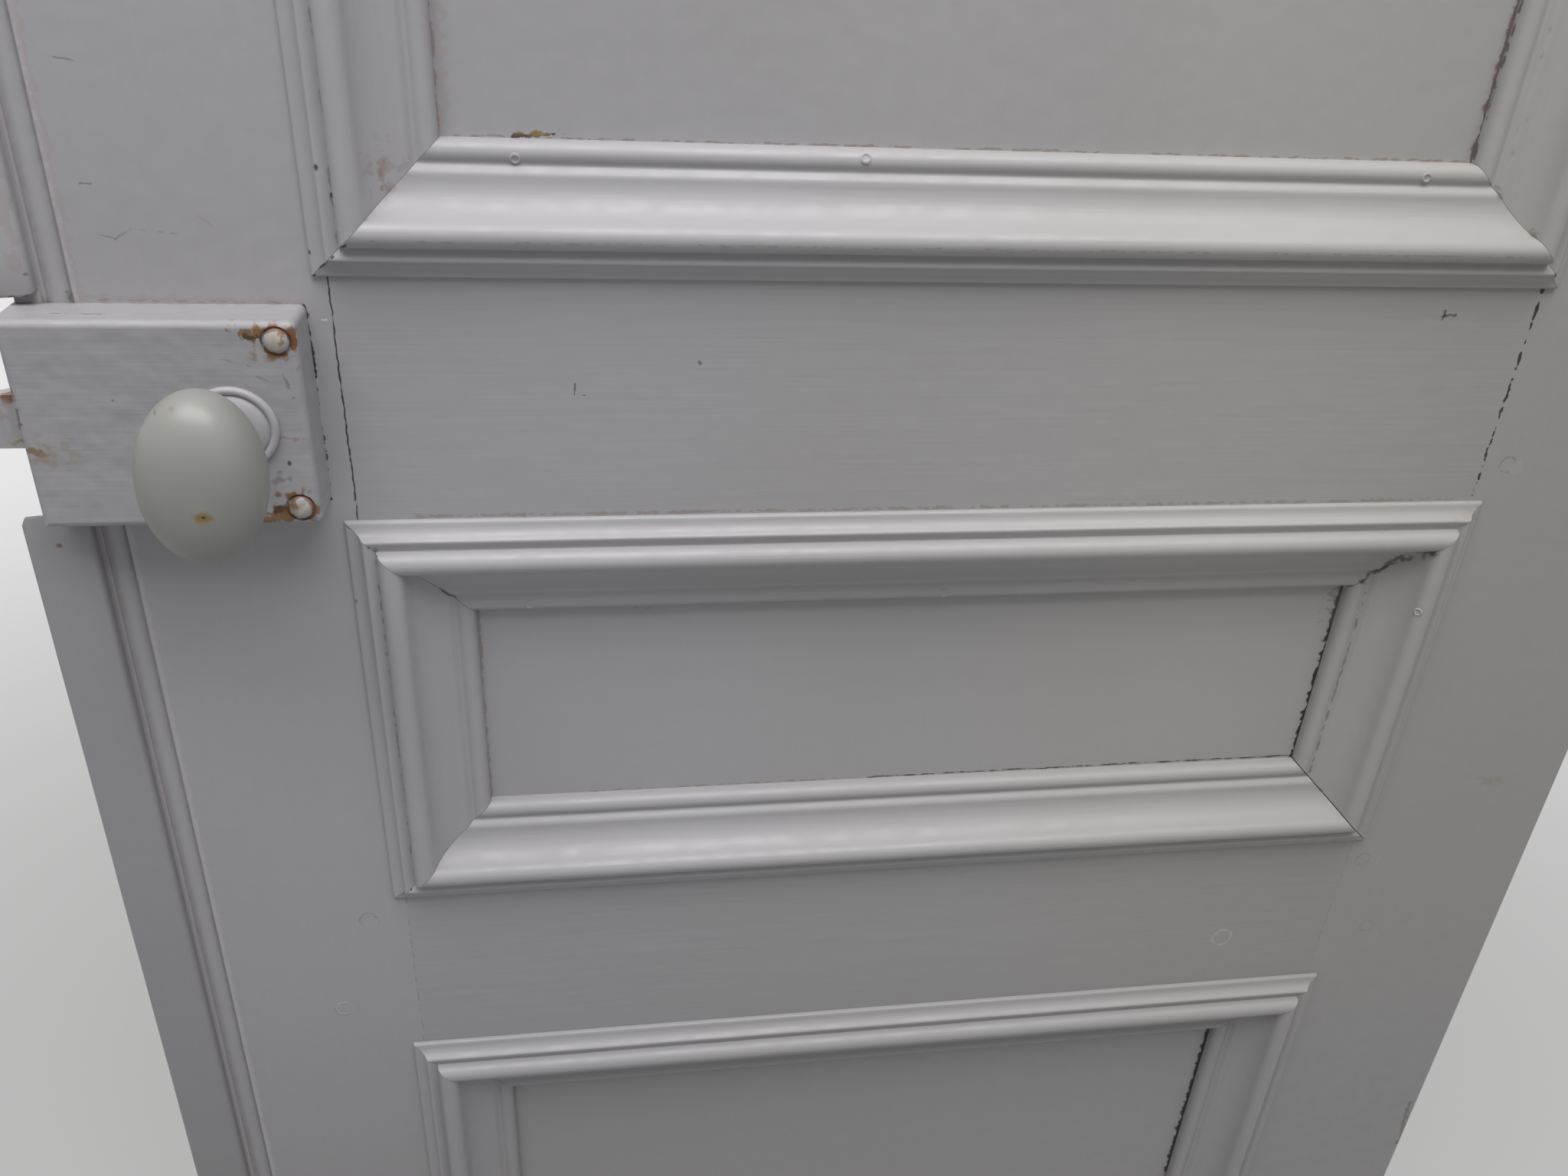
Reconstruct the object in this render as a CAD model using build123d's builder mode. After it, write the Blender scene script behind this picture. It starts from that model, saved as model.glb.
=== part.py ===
"""Panelled front door: a painted leaf of stiles, rails and three panels with heavy planted
mouldings, hung on three butt hinges, with a rim lock and oval knobs.

Millimetres. +X runs from the lock edge to the hinge edge, +Y from the room side to the
outside, +Z up. The origin is the middle of the leaf's bottom edge.
"""
import os
from math import degrees

from build123d import *

os.makedirs("parts", exist_ok=True)

# Leaf
leaf_height = 2032.0
leaf_width = 795.5
leaf_thickness = 44.0
stile_width = 121.5
top_rail_height = 118.0
lock_rail_height = 123.0
lock_rail_top = 1062.0
middle_opening_height = 212.0
middle_rail_height = 124.0
bottom_rail_height = 216.0
arris_radius = 1.5

# How far a cut runs out past the face that it opens in
cut_over = 1.0

# Joints of the frame: stub tenons held by wooden pegs
groove_width = 12.0
groove_depth = 12.0
tenon_thickness = 14.0
tenon_length = 92.0
mortise_end_gap = 2.0
top_haunch = 35.0
bottom_haunch = 45.0
peg_radius = 4.3
peg_hole_clearance = 0.05
peg_near = 20.0
peg_far = 37.0
peg_drop = 12.0
peg_rise = 25.0

# Panels
panel_thickness = 18.0
panel_shoulder_gap = 1.0
panel_edge_gap = 2.0

# Moulding section, from the outer lip on the frame to the bead on the panel.
# Heights of the lip, roll and nose are above the frame's face, the others above the panel's.
moulding_lap = 6.0
lip_height = 2.5
lip_width = 1.0
hollow_width = 6.7
hollow_height = 8.2
slope_width = 5.8
nose_foot = 5.7
nose_crest = 5.4
nose_width = 10.9
nose_height = 12.9
nose_drop = 8.7
cove_width = 16.0
cove_floor = 9.4
ledge_width = 0.8
step_width = 3.3
bead_width = 9.0
bead_foot = 6.1
bead_crest = 4.1
bead_height = 8.0
bead_end = 2.5

# Cover strip on the lock edge, and the bead beside it
strip_width = 28.0
strip_overhang = 17.5
strip_thickness = 12.0
strip_arris = 4.0
strip_corner = 8.0
strip_end_gap = 1.0
edge_bead_width = 12.5
edge_bead_quirk = 1.3
edge_bead_depth = 2.5

# Hinges
top_hinge_drop = 217.0
bottom_hinge_rise = 225.0
hinge_heights = {"top": leaf_height - top_hinge_drop, "middle": leaf_height / 2,
                 "bottom": bottom_hinge_rise}
hinge_length = 100.0
hinge_gap = 3.0
flap_thickness = 3.0
flap_reach = 32.0
knuckle_radius = 5.5
knuckle_count = 5
knuckle_gap = 0.3
hinge_pin_radius = 3.0
running_gap = 0.05
screw_gap = 0.05
pin_tip_radius = 4.5
pin_tip_length = 3.5
flap_screw_radius = 2.2
flap_screw_head = 4.6
flap_screw_sink = 0.4
flap_hole_gap = 0.3
flap_screw_length = 25.0
flap_screw_inset = 9.6
flap_screw_column = 14.0
flap_screw_row = 72.0

# Rim lock case. Places in the lock are measured from the lock edge, from the lock's
# centre line, and out from the face of the stile.
lock_centre_z = 999.5
case_width = 111.5
case_height = 89.0
case_depth = 24.0
case_wall = 2.5
case_round = 3.0
back_plate_thickness = 2.0
back_plate_gap = 0.2
lip_reach = 14.0
spindle_from_edge = 82.0
slide_gap = 0.3
face_screw_inset = 8.0
face_screw_radius = 2.2
face_screw_head = 5.35
face_screw_dome = 3.2
face_screw_length = 42.0
face_screw_slot = 1.1
face_screw_crater = 6.2
crater_depth = 1.0
pillar_radius = 5.0
lip_screw_radius = 2.0
lip_screw_head = 3.8
lip_screw_length = 25.0
lip_screw_height = 36.0

# Latch
latch_height = 23.0
latch_reach = 15.0
latch_travel = 15.0
latch_low = 4.0
latch_high = 16.0
latch_flat = 2.0
latch_head_length = 19.5
stem_radius = 3.0
guide_start = 40.0
guide_length = 3.0
guide_half_height = 7.0
yoke_start = 46.0
yoke_thickness = 4.0
yoke_bar = 3.5
yoke_half_height = 24.0
yoke_far_clearance = 0.5
spring_wire = 0.6
spring_clearance = 0.6
spring_turns = 7
spring_seat_gap = 0.3
guide_wrap = 3.0

# Follower and spindle
hub_radius = 7.5
journal_radius = 6.8
horn_centre = 16.0
horn_tip = 3.0
horn_gap = 0.15
lug_inner = 7.8
horn_thickness = 3.6
spindle_side = 8.0
socket_gap = 0.05
shaft_hole_radius = 8.5

# Dead bolt and its flat spring
bolt_centre = -23.0
bolt_height = 16.0
bolt_low = 6.0
bolt_high = 17.0
bolt_head_length = 22.0
bolt_travel = 13.0
tail_end = 72.0
tail_thickness = 3.0
tail_height = 12.0
stud_radius = 2.5
stud_from_edge = 33.0
talon_start = 51.0
talon_width = 10.0
talon_depth = 6.5
flat_spring_thickness = 0.8
flat_spring_gap = 0.4
anchor_start = 67.0
anchor_length = 7.0
anchor_height = 4.6
anchor_rise = 7.4

# Keyhole
keyhole_from_edge = 56.0
keyhole_centre = -31.0
keyhole_radius = 4.5
keyhole_slot = 5.0
keyhole_drop = 10.0

# Knobs, necks and roses
knob_half_length = 34.5
knob_half_width = 23.3
knob_half_depth = 19.5
knob_out = 49.0
knob_lean = 4.5
neck_collar = 7.5
neck_waist = 6.6
neck_disc = 11.0
neck_disc_thickness = 3.0
knob_flat = 2.4
neck_stub_length = 14.0
neck_flare = 6.0
spindle_end_gap = 1.0
rose_radius = 17.8
rose_ring_width = 3.2
rose_ring_height = 2.6
rose_groove = 1.4
rose_dome = 3.8
outer_rose_radius = 27.0
outer_rose_edge = 2.0
outer_rose_dome = 5.0
rose_screw_circle = 20.0
rose_screw_count = 3
rose_screw_radius = 1.5
rose_screw_head = 2.9
rose_screw_seat = 3.2
rose_screw_length = 16.0

# Places worked out from the sizes above
inside_face = -leaf_thickness / 2
outside_face = leaf_thickness / 2
lock_edge = -leaf_width / 2
hinge_edge = leaf_width / 2
opening_left = lock_edge + stile_width
opening_right = hinge_edge - stile_width
top_rail_bottom = leaf_height - top_rail_height
lock_rail_bottom = lock_rail_top - lock_rail_height
middle_rail_top = lock_rail_bottom - middle_opening_height
middle_rail_bottom = middle_rail_top - middle_rail_height
panel_recess = (leaf_thickness - panel_thickness) / 2
hollow_end = lip_width + hollow_width
slope_end = hollow_end + slope_width
nose_end = slope_end + nose_width
cove_end = nose_end + cove_width
step_end = cove_end + ledge_width + step_width
moulding_width = step_end + bead_width

openings = {
    "top": (lock_rail_top, top_rail_bottom),
    "middle": (middle_rail_top, lock_rail_bottom),
    "bottom": (bottom_rail_height, middle_rail_bottom),
}
rails = {
    "top_rail": (top_rail_bottom, leaf_height),
    "lock_rail": (lock_rail_bottom, lock_rail_top),
    "middle_rail": (middle_rail_bottom, middle_rail_top),
    "bottom_rail": (0.0, bottom_rail_height),
}
tenons = {
    "top_rail": (top_rail_bottom + groove_depth, leaf_height - top_haunch),
    "lock_rail": (lock_rail_bottom + groove_depth, lock_rail_top - groove_depth),
    "middle_rail": (middle_rail_bottom + groove_depth, middle_rail_top - groove_depth),
    "bottom_rail": (bottom_haunch, bottom_rail_height - groove_depth),
}

spindle_x = lock_edge + spindle_from_edge
case_front = inside_face - case_depth
case_bottom = lock_centre_z - case_height / 2
case_top = lock_centre_z + case_height / 2
strip_left = lock_edge - strip_overhang
strip_right = strip_left + strip_width
hinge_x = hinge_edge + hinge_gap / 2
hinge_y = inside_face - knuckle_radius
rose_screw_places = [
    Vector(spindle_x, outside_face + rose_screw_seat, lock_centre_z)
    + Vector(0, 0, rose_screw_circle).rotate(Axis.Y, turn * 360 / rose_screw_count)
    for turn in range(rose_screw_count)
]


def save(piece, name):
    """Label a finished piece and write it to its own file."""
    piece.part.label = name
    export_step(piece.part, f"parts/{name}.step")


def block(x_limits, y_limits, z_limits, mode=Mode.ADD):
    """Add or cut a box between three pairs of limits."""
    middle = ((x_limits[0] + x_limits[1]) / 2, (y_limits[0] + y_limits[1]) / 2,
              (z_limits[0] + z_limits[1]) / 2)
    with Locations(middle):
        Box(x_limits[1] - x_limits[0], y_limits[1] - y_limits[0], z_limits[1] - z_limits[0],
            mode=mode)


def rod(start, direction, radius, length, mode=Mode.ADD):
    """Add or cut a round bar from a start point along a direction."""
    with Locations(Plane(origin=start, z_dir=direction)):
        Cylinder(radius, length, align=(Align.CENTER, Align.CENTER, Align.MIN), mode=mode)


def peg_places(rail):
    """Centres of one rail's four pegs as (x, z): two in each stile.

    The lock rail's near pegs are its lower ones, and those behind the lock keep to the
    far line, clear of the lock's screws.
    """
    low, high = tenons[rail]
    near_z, far_z = high - peg_drop, low + peg_rise
    near_left = opening_left - peg_near
    if rail == "lock_rail":
        near_z, far_z = low + peg_drop, high - peg_rise
        near_left = opening_left - peg_far
    return [(near_left, near_z), (opening_left - peg_far, far_z),
            (opening_right + peg_near, near_z), (opening_right + peg_far, far_z)]


def cut_peg_holes(rail):
    """Cut the holes of one rail's pegs through the leaf."""
    for x, z in peg_places(rail):
        rod((x, inside_face, z), (0, 1, 0), peg_radius + peg_hole_clearance, leaf_thickness,
            Mode.SUBTRACT)


def turning_plane(x, y, z, outward):
    """Plane for turned work: local x is the radius, local y runs outward along Y."""
    return Plane(origin=(x, y, z), x_dir=(1, 0, 0), z_dir=(0, 0, outward))


def screw(start, direction, radius, head_radius, length, mode=Mode.ADD):
    """Add a countersunk screw or cut its hole, from the flat of its head to its point."""
    bottom = (Align.CENTER, Align.CENTER, Align.MIN)
    with Locations(Plane(origin=start, z_dir=direction)):
        Cone(head_radius, radius, head_radius - radius, align=bottom, mode=mode)
        Cylinder(radius, length, align=bottom, mode=mode)


def lock_place(from_edge, height):
    """X and Z of a place in the lock."""
    return lock_edge + from_edge, lock_centre_z + height


def lock_block(from_edge, out, heights, mode=Mode.ADD):
    """Add or cut a box in the lock, given from the edge, out from the stile and by height."""
    block([lock_edge + value for value in from_edge], [inside_face - value for value in out[::-1]],
          [lock_centre_z + value for value in heights], mode)


def cut_keyhole(near_y, far_y):
    """Cut the keyhole between two depths."""
    key_x, key_z = lock_place(keyhole_from_edge, keyhole_centre)
    rod((key_x, near_y, key_z), (0, 1, 0), keyhole_radius, far_y - near_y, Mode.SUBTRACT)
    block((key_x - keyhole_slot / 2, key_x + keyhole_slot / 2), (near_y, far_y),
          (key_z - keyhole_drop, key_z), Mode.SUBTRACT)


def face_screw_places():
    """X and Z of the two screws that hold the lock to the stile."""
    height = case_height / 2 - face_screw_inset
    return [lock_place(case_width - face_screw_inset, side * height) for side in (1, -1)]


def cut_lock_holes():
    """Cut the holes of the spindle, the key and the lock's screws through the wood."""
    rod((spindle_x, inside_face, lock_centre_z), (0, 1, 0), shaft_hole_radius, leaf_thickness,
        Mode.SUBTRACT)
    cut_keyhole(inside_face, outside_face)
    for x, z in face_screw_places():
        rod((x, case_front, z), (0, 1, 0), face_screw_radius + screw_gap,
            face_screw_length + crater_depth, Mode.SUBTRACT)


# Pegs
with BuildPart() as tenon_pegs:
    for rail_name in rails:
        for peg_x, peg_z in peg_places(rail_name):
            rod((peg_x, inside_face, peg_z), (0, 1, 0), peg_radius, leaf_thickness)
save(tenon_pegs, "tenon_pegs")


# Rails
def make_rail(name):
    """A rail between the stiles with its tenons, panel grooves and peg holes."""
    low, high = rails[name]
    with BuildPart() as rail:
        block((opening_left, opening_right), (inside_face, outside_face), (low, high))
        block((opening_left - tenon_length, opening_right + tenon_length),
              (-tenon_thickness / 2, tenon_thickness / 2), tenons[name])
        for opening_low, opening_high in openings.values():
            if opening_low == high:
                block((opening_left, opening_right), (-groove_width / 2, groove_width / 2),
                      (high - groove_depth, high), Mode.SUBTRACT)
            if opening_high == low:
                block((opening_left, opening_right), (-groove_width / 2, groove_width / 2),
                      (low, low + groove_depth), Mode.SUBTRACT)
        cut_peg_holes(name)
        if name == "lock_rail":
            cut_lock_holes()
    save(rail, name)


for rail_name in rails:
    make_rail(rail_name)


# Stiles
def cut_stile_joints(inner, side):
    """Cut the panel grooves, mortises and peg holes; side points into the stile."""
    for low, high in openings.values():
        groove = sorted((inner, inner + side * groove_depth))
        block(groove, (-groove_width / 2, groove_width / 2),
              (low - groove_depth, high + groove_depth), Mode.SUBTRACT)
    for name in rails:
        mortise = sorted((inner, inner + side * (tenon_length + mortise_end_gap)))
        block(mortise, (-tenon_thickness / 2, tenon_thickness / 2), tenons[name],
              Mode.SUBTRACT)
        cut_peg_holes(name)


def flap_screw_places(name):
    """Centres of one flap's four screws as (y, z)."""
    first = inside_face + flap_screw_inset
    middle = hinge_heights[name]
    return [(first + column * flap_screw_column, middle + row * flap_screw_row / 2)
            for column in (0, 1) for row in (-1, 1)]


with BuildPart() as hinge_stile:
    with BuildSketch(Plane.XY) as hinge_section:
        with Locations(((opening_right + hinge_edge) / 2, 0)):
            Rectangle(stile_width, leaf_thickness)
        fillet(hinge_section.vertices().sort_by(Axis.X)[-2:], arris_radius)
    extrude(amount=leaf_height)
    cut_stile_joints(opening_right, 1)
    for hinge_name, hinge_z in hinge_heights.items():
        block((hinge_edge - flap_thickness, hinge_edge + cut_over),
              (inside_face - cut_over, inside_face + flap_reach),
              (hinge_z - hinge_length / 2, hinge_z + hinge_length / 2), Mode.SUBTRACT)
        for screw_y, screw_z in flap_screw_places(hinge_name):
            rod((hinge_edge, screw_y, screw_z), (-1, 0, 0), flap_screw_radius + screw_gap,
                flap_screw_length, Mode.SUBTRACT)
save(hinge_stile, "hinge_stile")

with BuildPart() as lock_stile:
    with BuildSketch(Plane.XY) as lock_section:
        with Locations(((lock_edge + opening_left) / 2, 0)):
            Rectangle(stile_width, leaf_thickness)
        fillet(lock_section.vertices().sort_by(Axis.X)[:2], arris_radius)
        bead_right = strip_right + edge_bead_width
        with Locations(((strip_right + bead_right) / 2, inside_face + edge_bead_depth / 2)):
            Rectangle(edge_bead_width, edge_bead_depth, mode=Mode.SUBTRACT)
        crown_left = (strip_right + edge_bead_quirk, inside_face + edge_bead_depth)
        crown_right = (bead_right - edge_bead_quirk, inside_face + edge_bead_depth)
        with BuildLine():
            ThreePointArc(crown_left, ((strip_right + bead_right) / 2, inside_face), crown_right)
            Line(crown_right, crown_left)
        make_face()
    extrude(amount=leaf_height)
    cut_stile_joints(opening_left, -1)
    cut_lock_holes()
    lock_block((-cut_over, case_wall), (-lip_reach, cut_over),
               (-case_height / 2, case_height / 2), Mode.SUBTRACT)
    for lip_side in (1, -1):
        lip_x, lip_z = lock_place(0, lip_side * lip_screw_height)
        rod((lip_x, inside_face + lip_reach / 2, lip_z), (1, 0, 0), lip_screw_radius + screw_gap,
            lip_screw_length, Mode.SUBTRACT)
    for screw_start in rose_screw_places:
        rod(screw_start, (0, -1, 0), rose_screw_radius + screw_gap,
            rose_screw_length + screw_gap, Mode.SUBTRACT)
save(lock_stile, "lock_stile")


# Panels
for opening_name, (opening_low, opening_high) in openings.items():
    with BuildPart() as panel:
        block((opening_left + panel_shoulder_gap, opening_right - panel_shoulder_gap),
              (-panel_thickness / 2, panel_thickness / 2),
              (opening_low + panel_shoulder_gap, opening_high - panel_shoulder_gap))
        tongue = groove_depth - panel_edge_gap
        block((opening_left - tongue, opening_right + tongue),
              (-groove_width / 2, groove_width / 2),
              (opening_low - tongue, opening_high + tongue))
    save(panel, f"{opening_name}_panel")


# Mouldings: each piece is rebated over the edge of the frame and mitred at both ends
cove_height = cove_floor - panel_recess
bead_start = bead_foot - panel_recess
bead_top = bead_height - panel_recess
bead_stop = bead_end - panel_recess


def make_moulding(name, face_y, outward, edge, inward, half_length):
    """One mitred piece; edge is the middle of its outer lip and inward points at the panel."""
    along = inward.cross(outward)
    middle = Vector(edge[0], face_y, edge[1])
    with BuildPart() as moulding:
        with BuildSketch(Plane(origin=middle, x_dir=inward, z_dir=along)):
            with BuildLine():
                Polyline((0, 0), (0, lip_height), (lip_width, lip_height))
                TangentArc((lip_width, lip_height), (hollow_end, hollow_height), tangent=(1, 0))
                Line((hollow_end, hollow_height), (slope_end, nose_foot))
                nose = ThreePointArc((slope_end, nose_foot),
                                     (slope_end + nose_crest, nose_height),
                                     (nose_end, nose_drop))
                TangentArc((nose_end, nose_drop), (cove_end, cove_height), tangent=nose % 1)
                Polyline((cove_end, cove_height), (cove_end + ledge_width, cove_height),
                         (step_end, bead_start))
                ThreePointArc((step_end, bead_start), (step_end + bead_crest, bead_top),
                              (moulding_width, bead_stop))
                Polyline((moulding_width, bead_stop), (moulding_width, -panel_recess),
                         (moulding_lap, -panel_recess), (moulding_lap, 0), (0, 0))
            make_face()
        extrude(amount=half_length, both=True)
        for end in (along, along * -1):
            split(bisect_by=Plane(origin=middle + end * half_length, z_dir=(inward + end) * -1),
                  keep=Keep.TOP)
    save(moulding, name)


for opening_name, (opening_low, opening_high) in openings.items():
    left, right = opening_left - moulding_lap, opening_right + moulding_lap
    low, high = opening_low - moulding_lap, opening_high + moulding_lap
    sides = {
        "left": ((left, (low + high) / 2), Vector(1, 0, 0), (high - low) / 2),
        "right": ((right, (low + high) / 2), Vector(-1, 0, 0), (high - low) / 2),
        "bottom": (((left + right) / 2, low), Vector(0, 0, 1), (right - left) / 2),
        "top": (((left + right) / 2, high), Vector(0, 0, -1), (right - left) / 2),
    }
    for side_name, (edge, inward, half_length) in sides.items():
        make_moulding(f"{opening_name}_panel_inside_moulding_{side_name}", inside_face,
                      Vector(0, -1, 0), edge, inward, half_length)
        make_moulding(f"{opening_name}_panel_outside_moulding_{side_name}", outside_face,
                      Vector(0, 1, 0), edge, inward, half_length)


# Cover strip, in two lengths above and below the lock
def strip_board(low, high):
    """A length of the strip, its lock-side arris rounded."""
    with BuildSketch(Plane.XY.offset(low)) as strip_section:
        with Locations(((strip_left + strip_right) / 2, inside_face - strip_thickness / 2)):
            Rectangle(strip_width, strip_thickness)
        fillet(strip_section.vertices().group_by(Axis.Y)[0].sort_by(Axis.X)[0], strip_arris)
        fillet(strip_section.vertices().group_by(Axis.Y)[0].sort_by(Axis.X)[-1], arris_radius)
    extrude(strip_section.sketch, amount=high - low)


with BuildPart() as cover_strip_upper:
    strip_board(case_top + strip_end_gap, leaf_height)
save(cover_strip_upper, "cover_strip_upper")

with BuildPart() as cover_strip_lower:
    strip_board(0, case_bottom - strip_end_gap)
    corner = cover_strip_lower.edges().filter_by(Axis.Y).group_by(Axis.Z)[-1].sort_by(Axis.X)[0]
    fillet(corner, strip_corner)
save(cover_strip_lower, "cover_strip_lower")


# Hinges
def knuckle_limits(first, step, middle):
    """Z limits of every second knuckle, starting with the first."""
    pitch = hinge_length / knuckle_count
    bottom = middle - hinge_length / 2
    return [(bottom + index * pitch, bottom + (index + 1) * pitch)
            for index in range(first, knuckle_count, step)]


def make_flap(name, middle, first, flap_x, screw_x, outward):
    """A hinge flap with every second knuckle, its pin hole and its countersunk holes."""
    ends = (middle - hinge_length / 2, middle + hinge_length / 2)
    own = knuckle_limits(first, 2, middle)
    others = knuckle_limits(1 - first, 2, middle)
    with BuildPart() as flap:
        block(flap_x, (hinge_y, inside_face + flap_reach), ends)
        for low, high in others:
            rod((hinge_x, hinge_y, low - knuckle_gap / 2), (0, 0, 1),
                knuckle_radius + knuckle_gap, high - low + knuckle_gap, Mode.SUBTRACT)
        for low, high in own:
            start = low + (knuckle_gap / 2 if low > ends[0] else 0)
            stop = high - (knuckle_gap / 2 if high < ends[1] else 0)
            rod((hinge_x, hinge_y, start), (0, 0, 1), knuckle_radius, stop - start)
        rod((hinge_x, hinge_y, ends[0]), (0, 0, 1), hinge_pin_radius + running_gap,
            hinge_length, Mode.SUBTRACT)
        for y, z in flap_screw_places(name):
            screw((screw_x, y, z), (outward, 0, 0), flap_screw_radius + flap_hole_gap,
                  flap_screw_head + screw_gap, flap_screw_length, Mode.SUBTRACT)
    return flap


for hinge_name, hinge_z in hinge_heights.items():
    save(make_flap(hinge_name, hinge_z, 1, (hinge_edge - flap_thickness, hinge_edge),
                   hinge_edge, -1), f"door_flap_{hinge_name}")
    save(make_flap(hinge_name, hinge_z, 0,
                   (hinge_edge + hinge_gap, hinge_edge + hinge_gap + flap_thickness),
                   hinge_edge + hinge_gap, 1), f"frame_flap_{hinge_name}")

with BuildPart() as hinge_pins:
    for hinge_z in hinge_heights.values():
        foot = hinge_z - hinge_length / 2
        rod((hinge_x, hinge_y, foot), (0, 0, 1), hinge_pin_radius, hinge_length)
        rod((hinge_x, hinge_y, foot), (0, 0, -1), pin_tip_radius, pin_tip_length)
        rod((hinge_x, hinge_y, foot + hinge_length), (0, 0, 1), pin_tip_radius, pin_tip_length)
save(hinge_pins, "hinge_pins")

with BuildPart() as door_hinge_screws:
    for hinge_name in hinge_heights:
        for screw_y, screw_z in flap_screw_places(hinge_name):
            screw((hinge_edge - flap_screw_sink, screw_y, screw_z), (-1, 0, 0),
                  flap_screw_radius, flap_screw_head - flap_screw_sink,
                  flap_screw_length - flap_screw_sink)
save(door_hinge_screws, "door_hinge_screws")


# Rim lock
inner_depth = case_depth - case_wall
latch_out = (latch_low + latch_high) / 2
stem_y = inside_face - latch_out
latch_back = latch_head_length - latch_reach
half_case = case_height / 2

with BuildPart() as lock_case:
    lock_block((0, case_width), (0, case_depth), (-half_case, half_case))
    front_edges = lock_case.faces().sort_by(Axis.Y)[0].edges()
    far_corners = lock_case.edges().filter_by(Axis.Y).sort_by(Axis.X)[-2:]
    fillet(front_edges + far_corners, case_round)
    lock_block((case_wall, case_width - case_wall), (0, inner_depth),
               (case_wall - half_case, half_case - case_wall), Mode.SUBTRACT)
    lock_block((0, case_wall), (-lip_reach, 0), (-half_case, half_case))
    for x, z in face_screw_places():
        rod((x, case_front, z), (0, 1, 0), pillar_radius, case_depth - back_plate_thickness)
        rod((x, case_front, z), (0, 1, 0), face_screw_crater, crater_depth, Mode.SUBTRACT)
        rod((x, case_front, z), (0, 1, 0), face_screw_radius + screw_gap, case_depth,
            Mode.SUBTRACT)
    lock_block((guide_start, guide_start + guide_length),
               (latch_out - stem_radius - guide_wrap, inner_depth),
               (-guide_half_height, guide_half_height))
    rod((lock_edge + guide_start, stem_y, lock_centre_z), (1, 0, 0), stem_radius + slide_gap,
        guide_length, Mode.SUBTRACT)
    stud_x, stud_z = lock_place(stud_from_edge, bolt_centre)
    stud_end = bolt_high - tail_thickness - slide_gap
    rod((stud_x, inside_face - inner_depth, stud_z), (0, 1, 0), stud_radius,
        inner_depth - stud_end)
    tail_top = bolt_centre + tail_height / 2
    anchor_top = tail_top + anchor_rise
    lock_block((anchor_start, anchor_start + anchor_length),
               (bolt_high - tail_thickness, inner_depth),
               (anchor_top - anchor_height, anchor_top))
    rod((spindle_x, case_front, lock_centre_z), (0, 1, 0), journal_radius + running_gap,
        case_wall, Mode.SUBTRACT)
    cut_keyhole(case_front, inside_face - inner_depth)
    lock_block((0, case_wall), (latch_low - slide_gap, latch_high + slide_gap),
               (-latch_height / 2 - slide_gap, latch_height / 2 + slide_gap), Mode.SUBTRACT)
    lock_block((0, case_wall), (bolt_low - slide_gap, bolt_high + slide_gap),
               (bolt_centre - bolt_height / 2 - slide_gap,
                bolt_centre + bolt_height / 2 + slide_gap), Mode.SUBTRACT)
    for lip_side in (1, -1):
        lip_x, lip_z = lock_place(0, lip_side * lip_screw_height)
        screw((lip_x, inside_face + lip_reach / 2, lip_z), (1, 0, 0),
              lip_screw_radius + screw_gap, lip_screw_head + screw_gap, lip_screw_length,
              Mode.SUBTRACT)
save(lock_case, "lock_case")

with BuildPart() as lock_back_plate:
    plate_inset = case_wall + back_plate_gap
    lock_block((plate_inset, case_width - plate_inset), (0, back_plate_thickness),
               (plate_inset - half_case, half_case - plate_inset))
    rod((spindle_x, inside_face - back_plate_thickness, lock_centre_z), (0, 1, 0),
        journal_radius + running_gap, back_plate_thickness, Mode.SUBTRACT)
    cut_keyhole(inside_face - back_plate_thickness, inside_face)
    for x, z in face_screw_places():
        rod((x, case_front, z), (0, 1, 0), face_screw_radius + screw_gap, case_depth,
            Mode.SUBTRACT)
save(lock_back_plate, "lock_back_plate")

with BuildPart() as lock_screws:
    seat_y = case_front + crater_depth
    for x, z in face_screw_places():
        rod((x, seat_y, z), (0, 1, 0), face_screw_radius, face_screw_length - crater_depth)
        with BuildSketch(turning_plane(x, seat_y, z, -1)):
            with BuildLine():
                TangentArc((0, face_screw_dome), (face_screw_head, 0), tangent=(1, 0))
                Polyline((face_screw_head, 0), (0, 0), (0, face_screw_dome))
            make_face()
        revolve(axis=Axis((x, seat_y, z), (0, 1, 0)))
        block((x - face_screw_head, x + face_screw_head),
              (seat_y - face_screw_dome, seat_y - face_screw_dome / 2),
              (z - face_screw_slot / 2, z + face_screw_slot / 2), Mode.SUBTRACT)
    for lip_side in (1, -1):
        lip_x, lip_z = lock_place(0, lip_side * lip_screw_height)
        screw((lip_x, inside_face + lip_reach / 2, lip_z), (1, 0, 0), lip_screw_radius,
              lip_screw_head, lip_screw_length)
save(lock_screws, "lock_screws")

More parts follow.
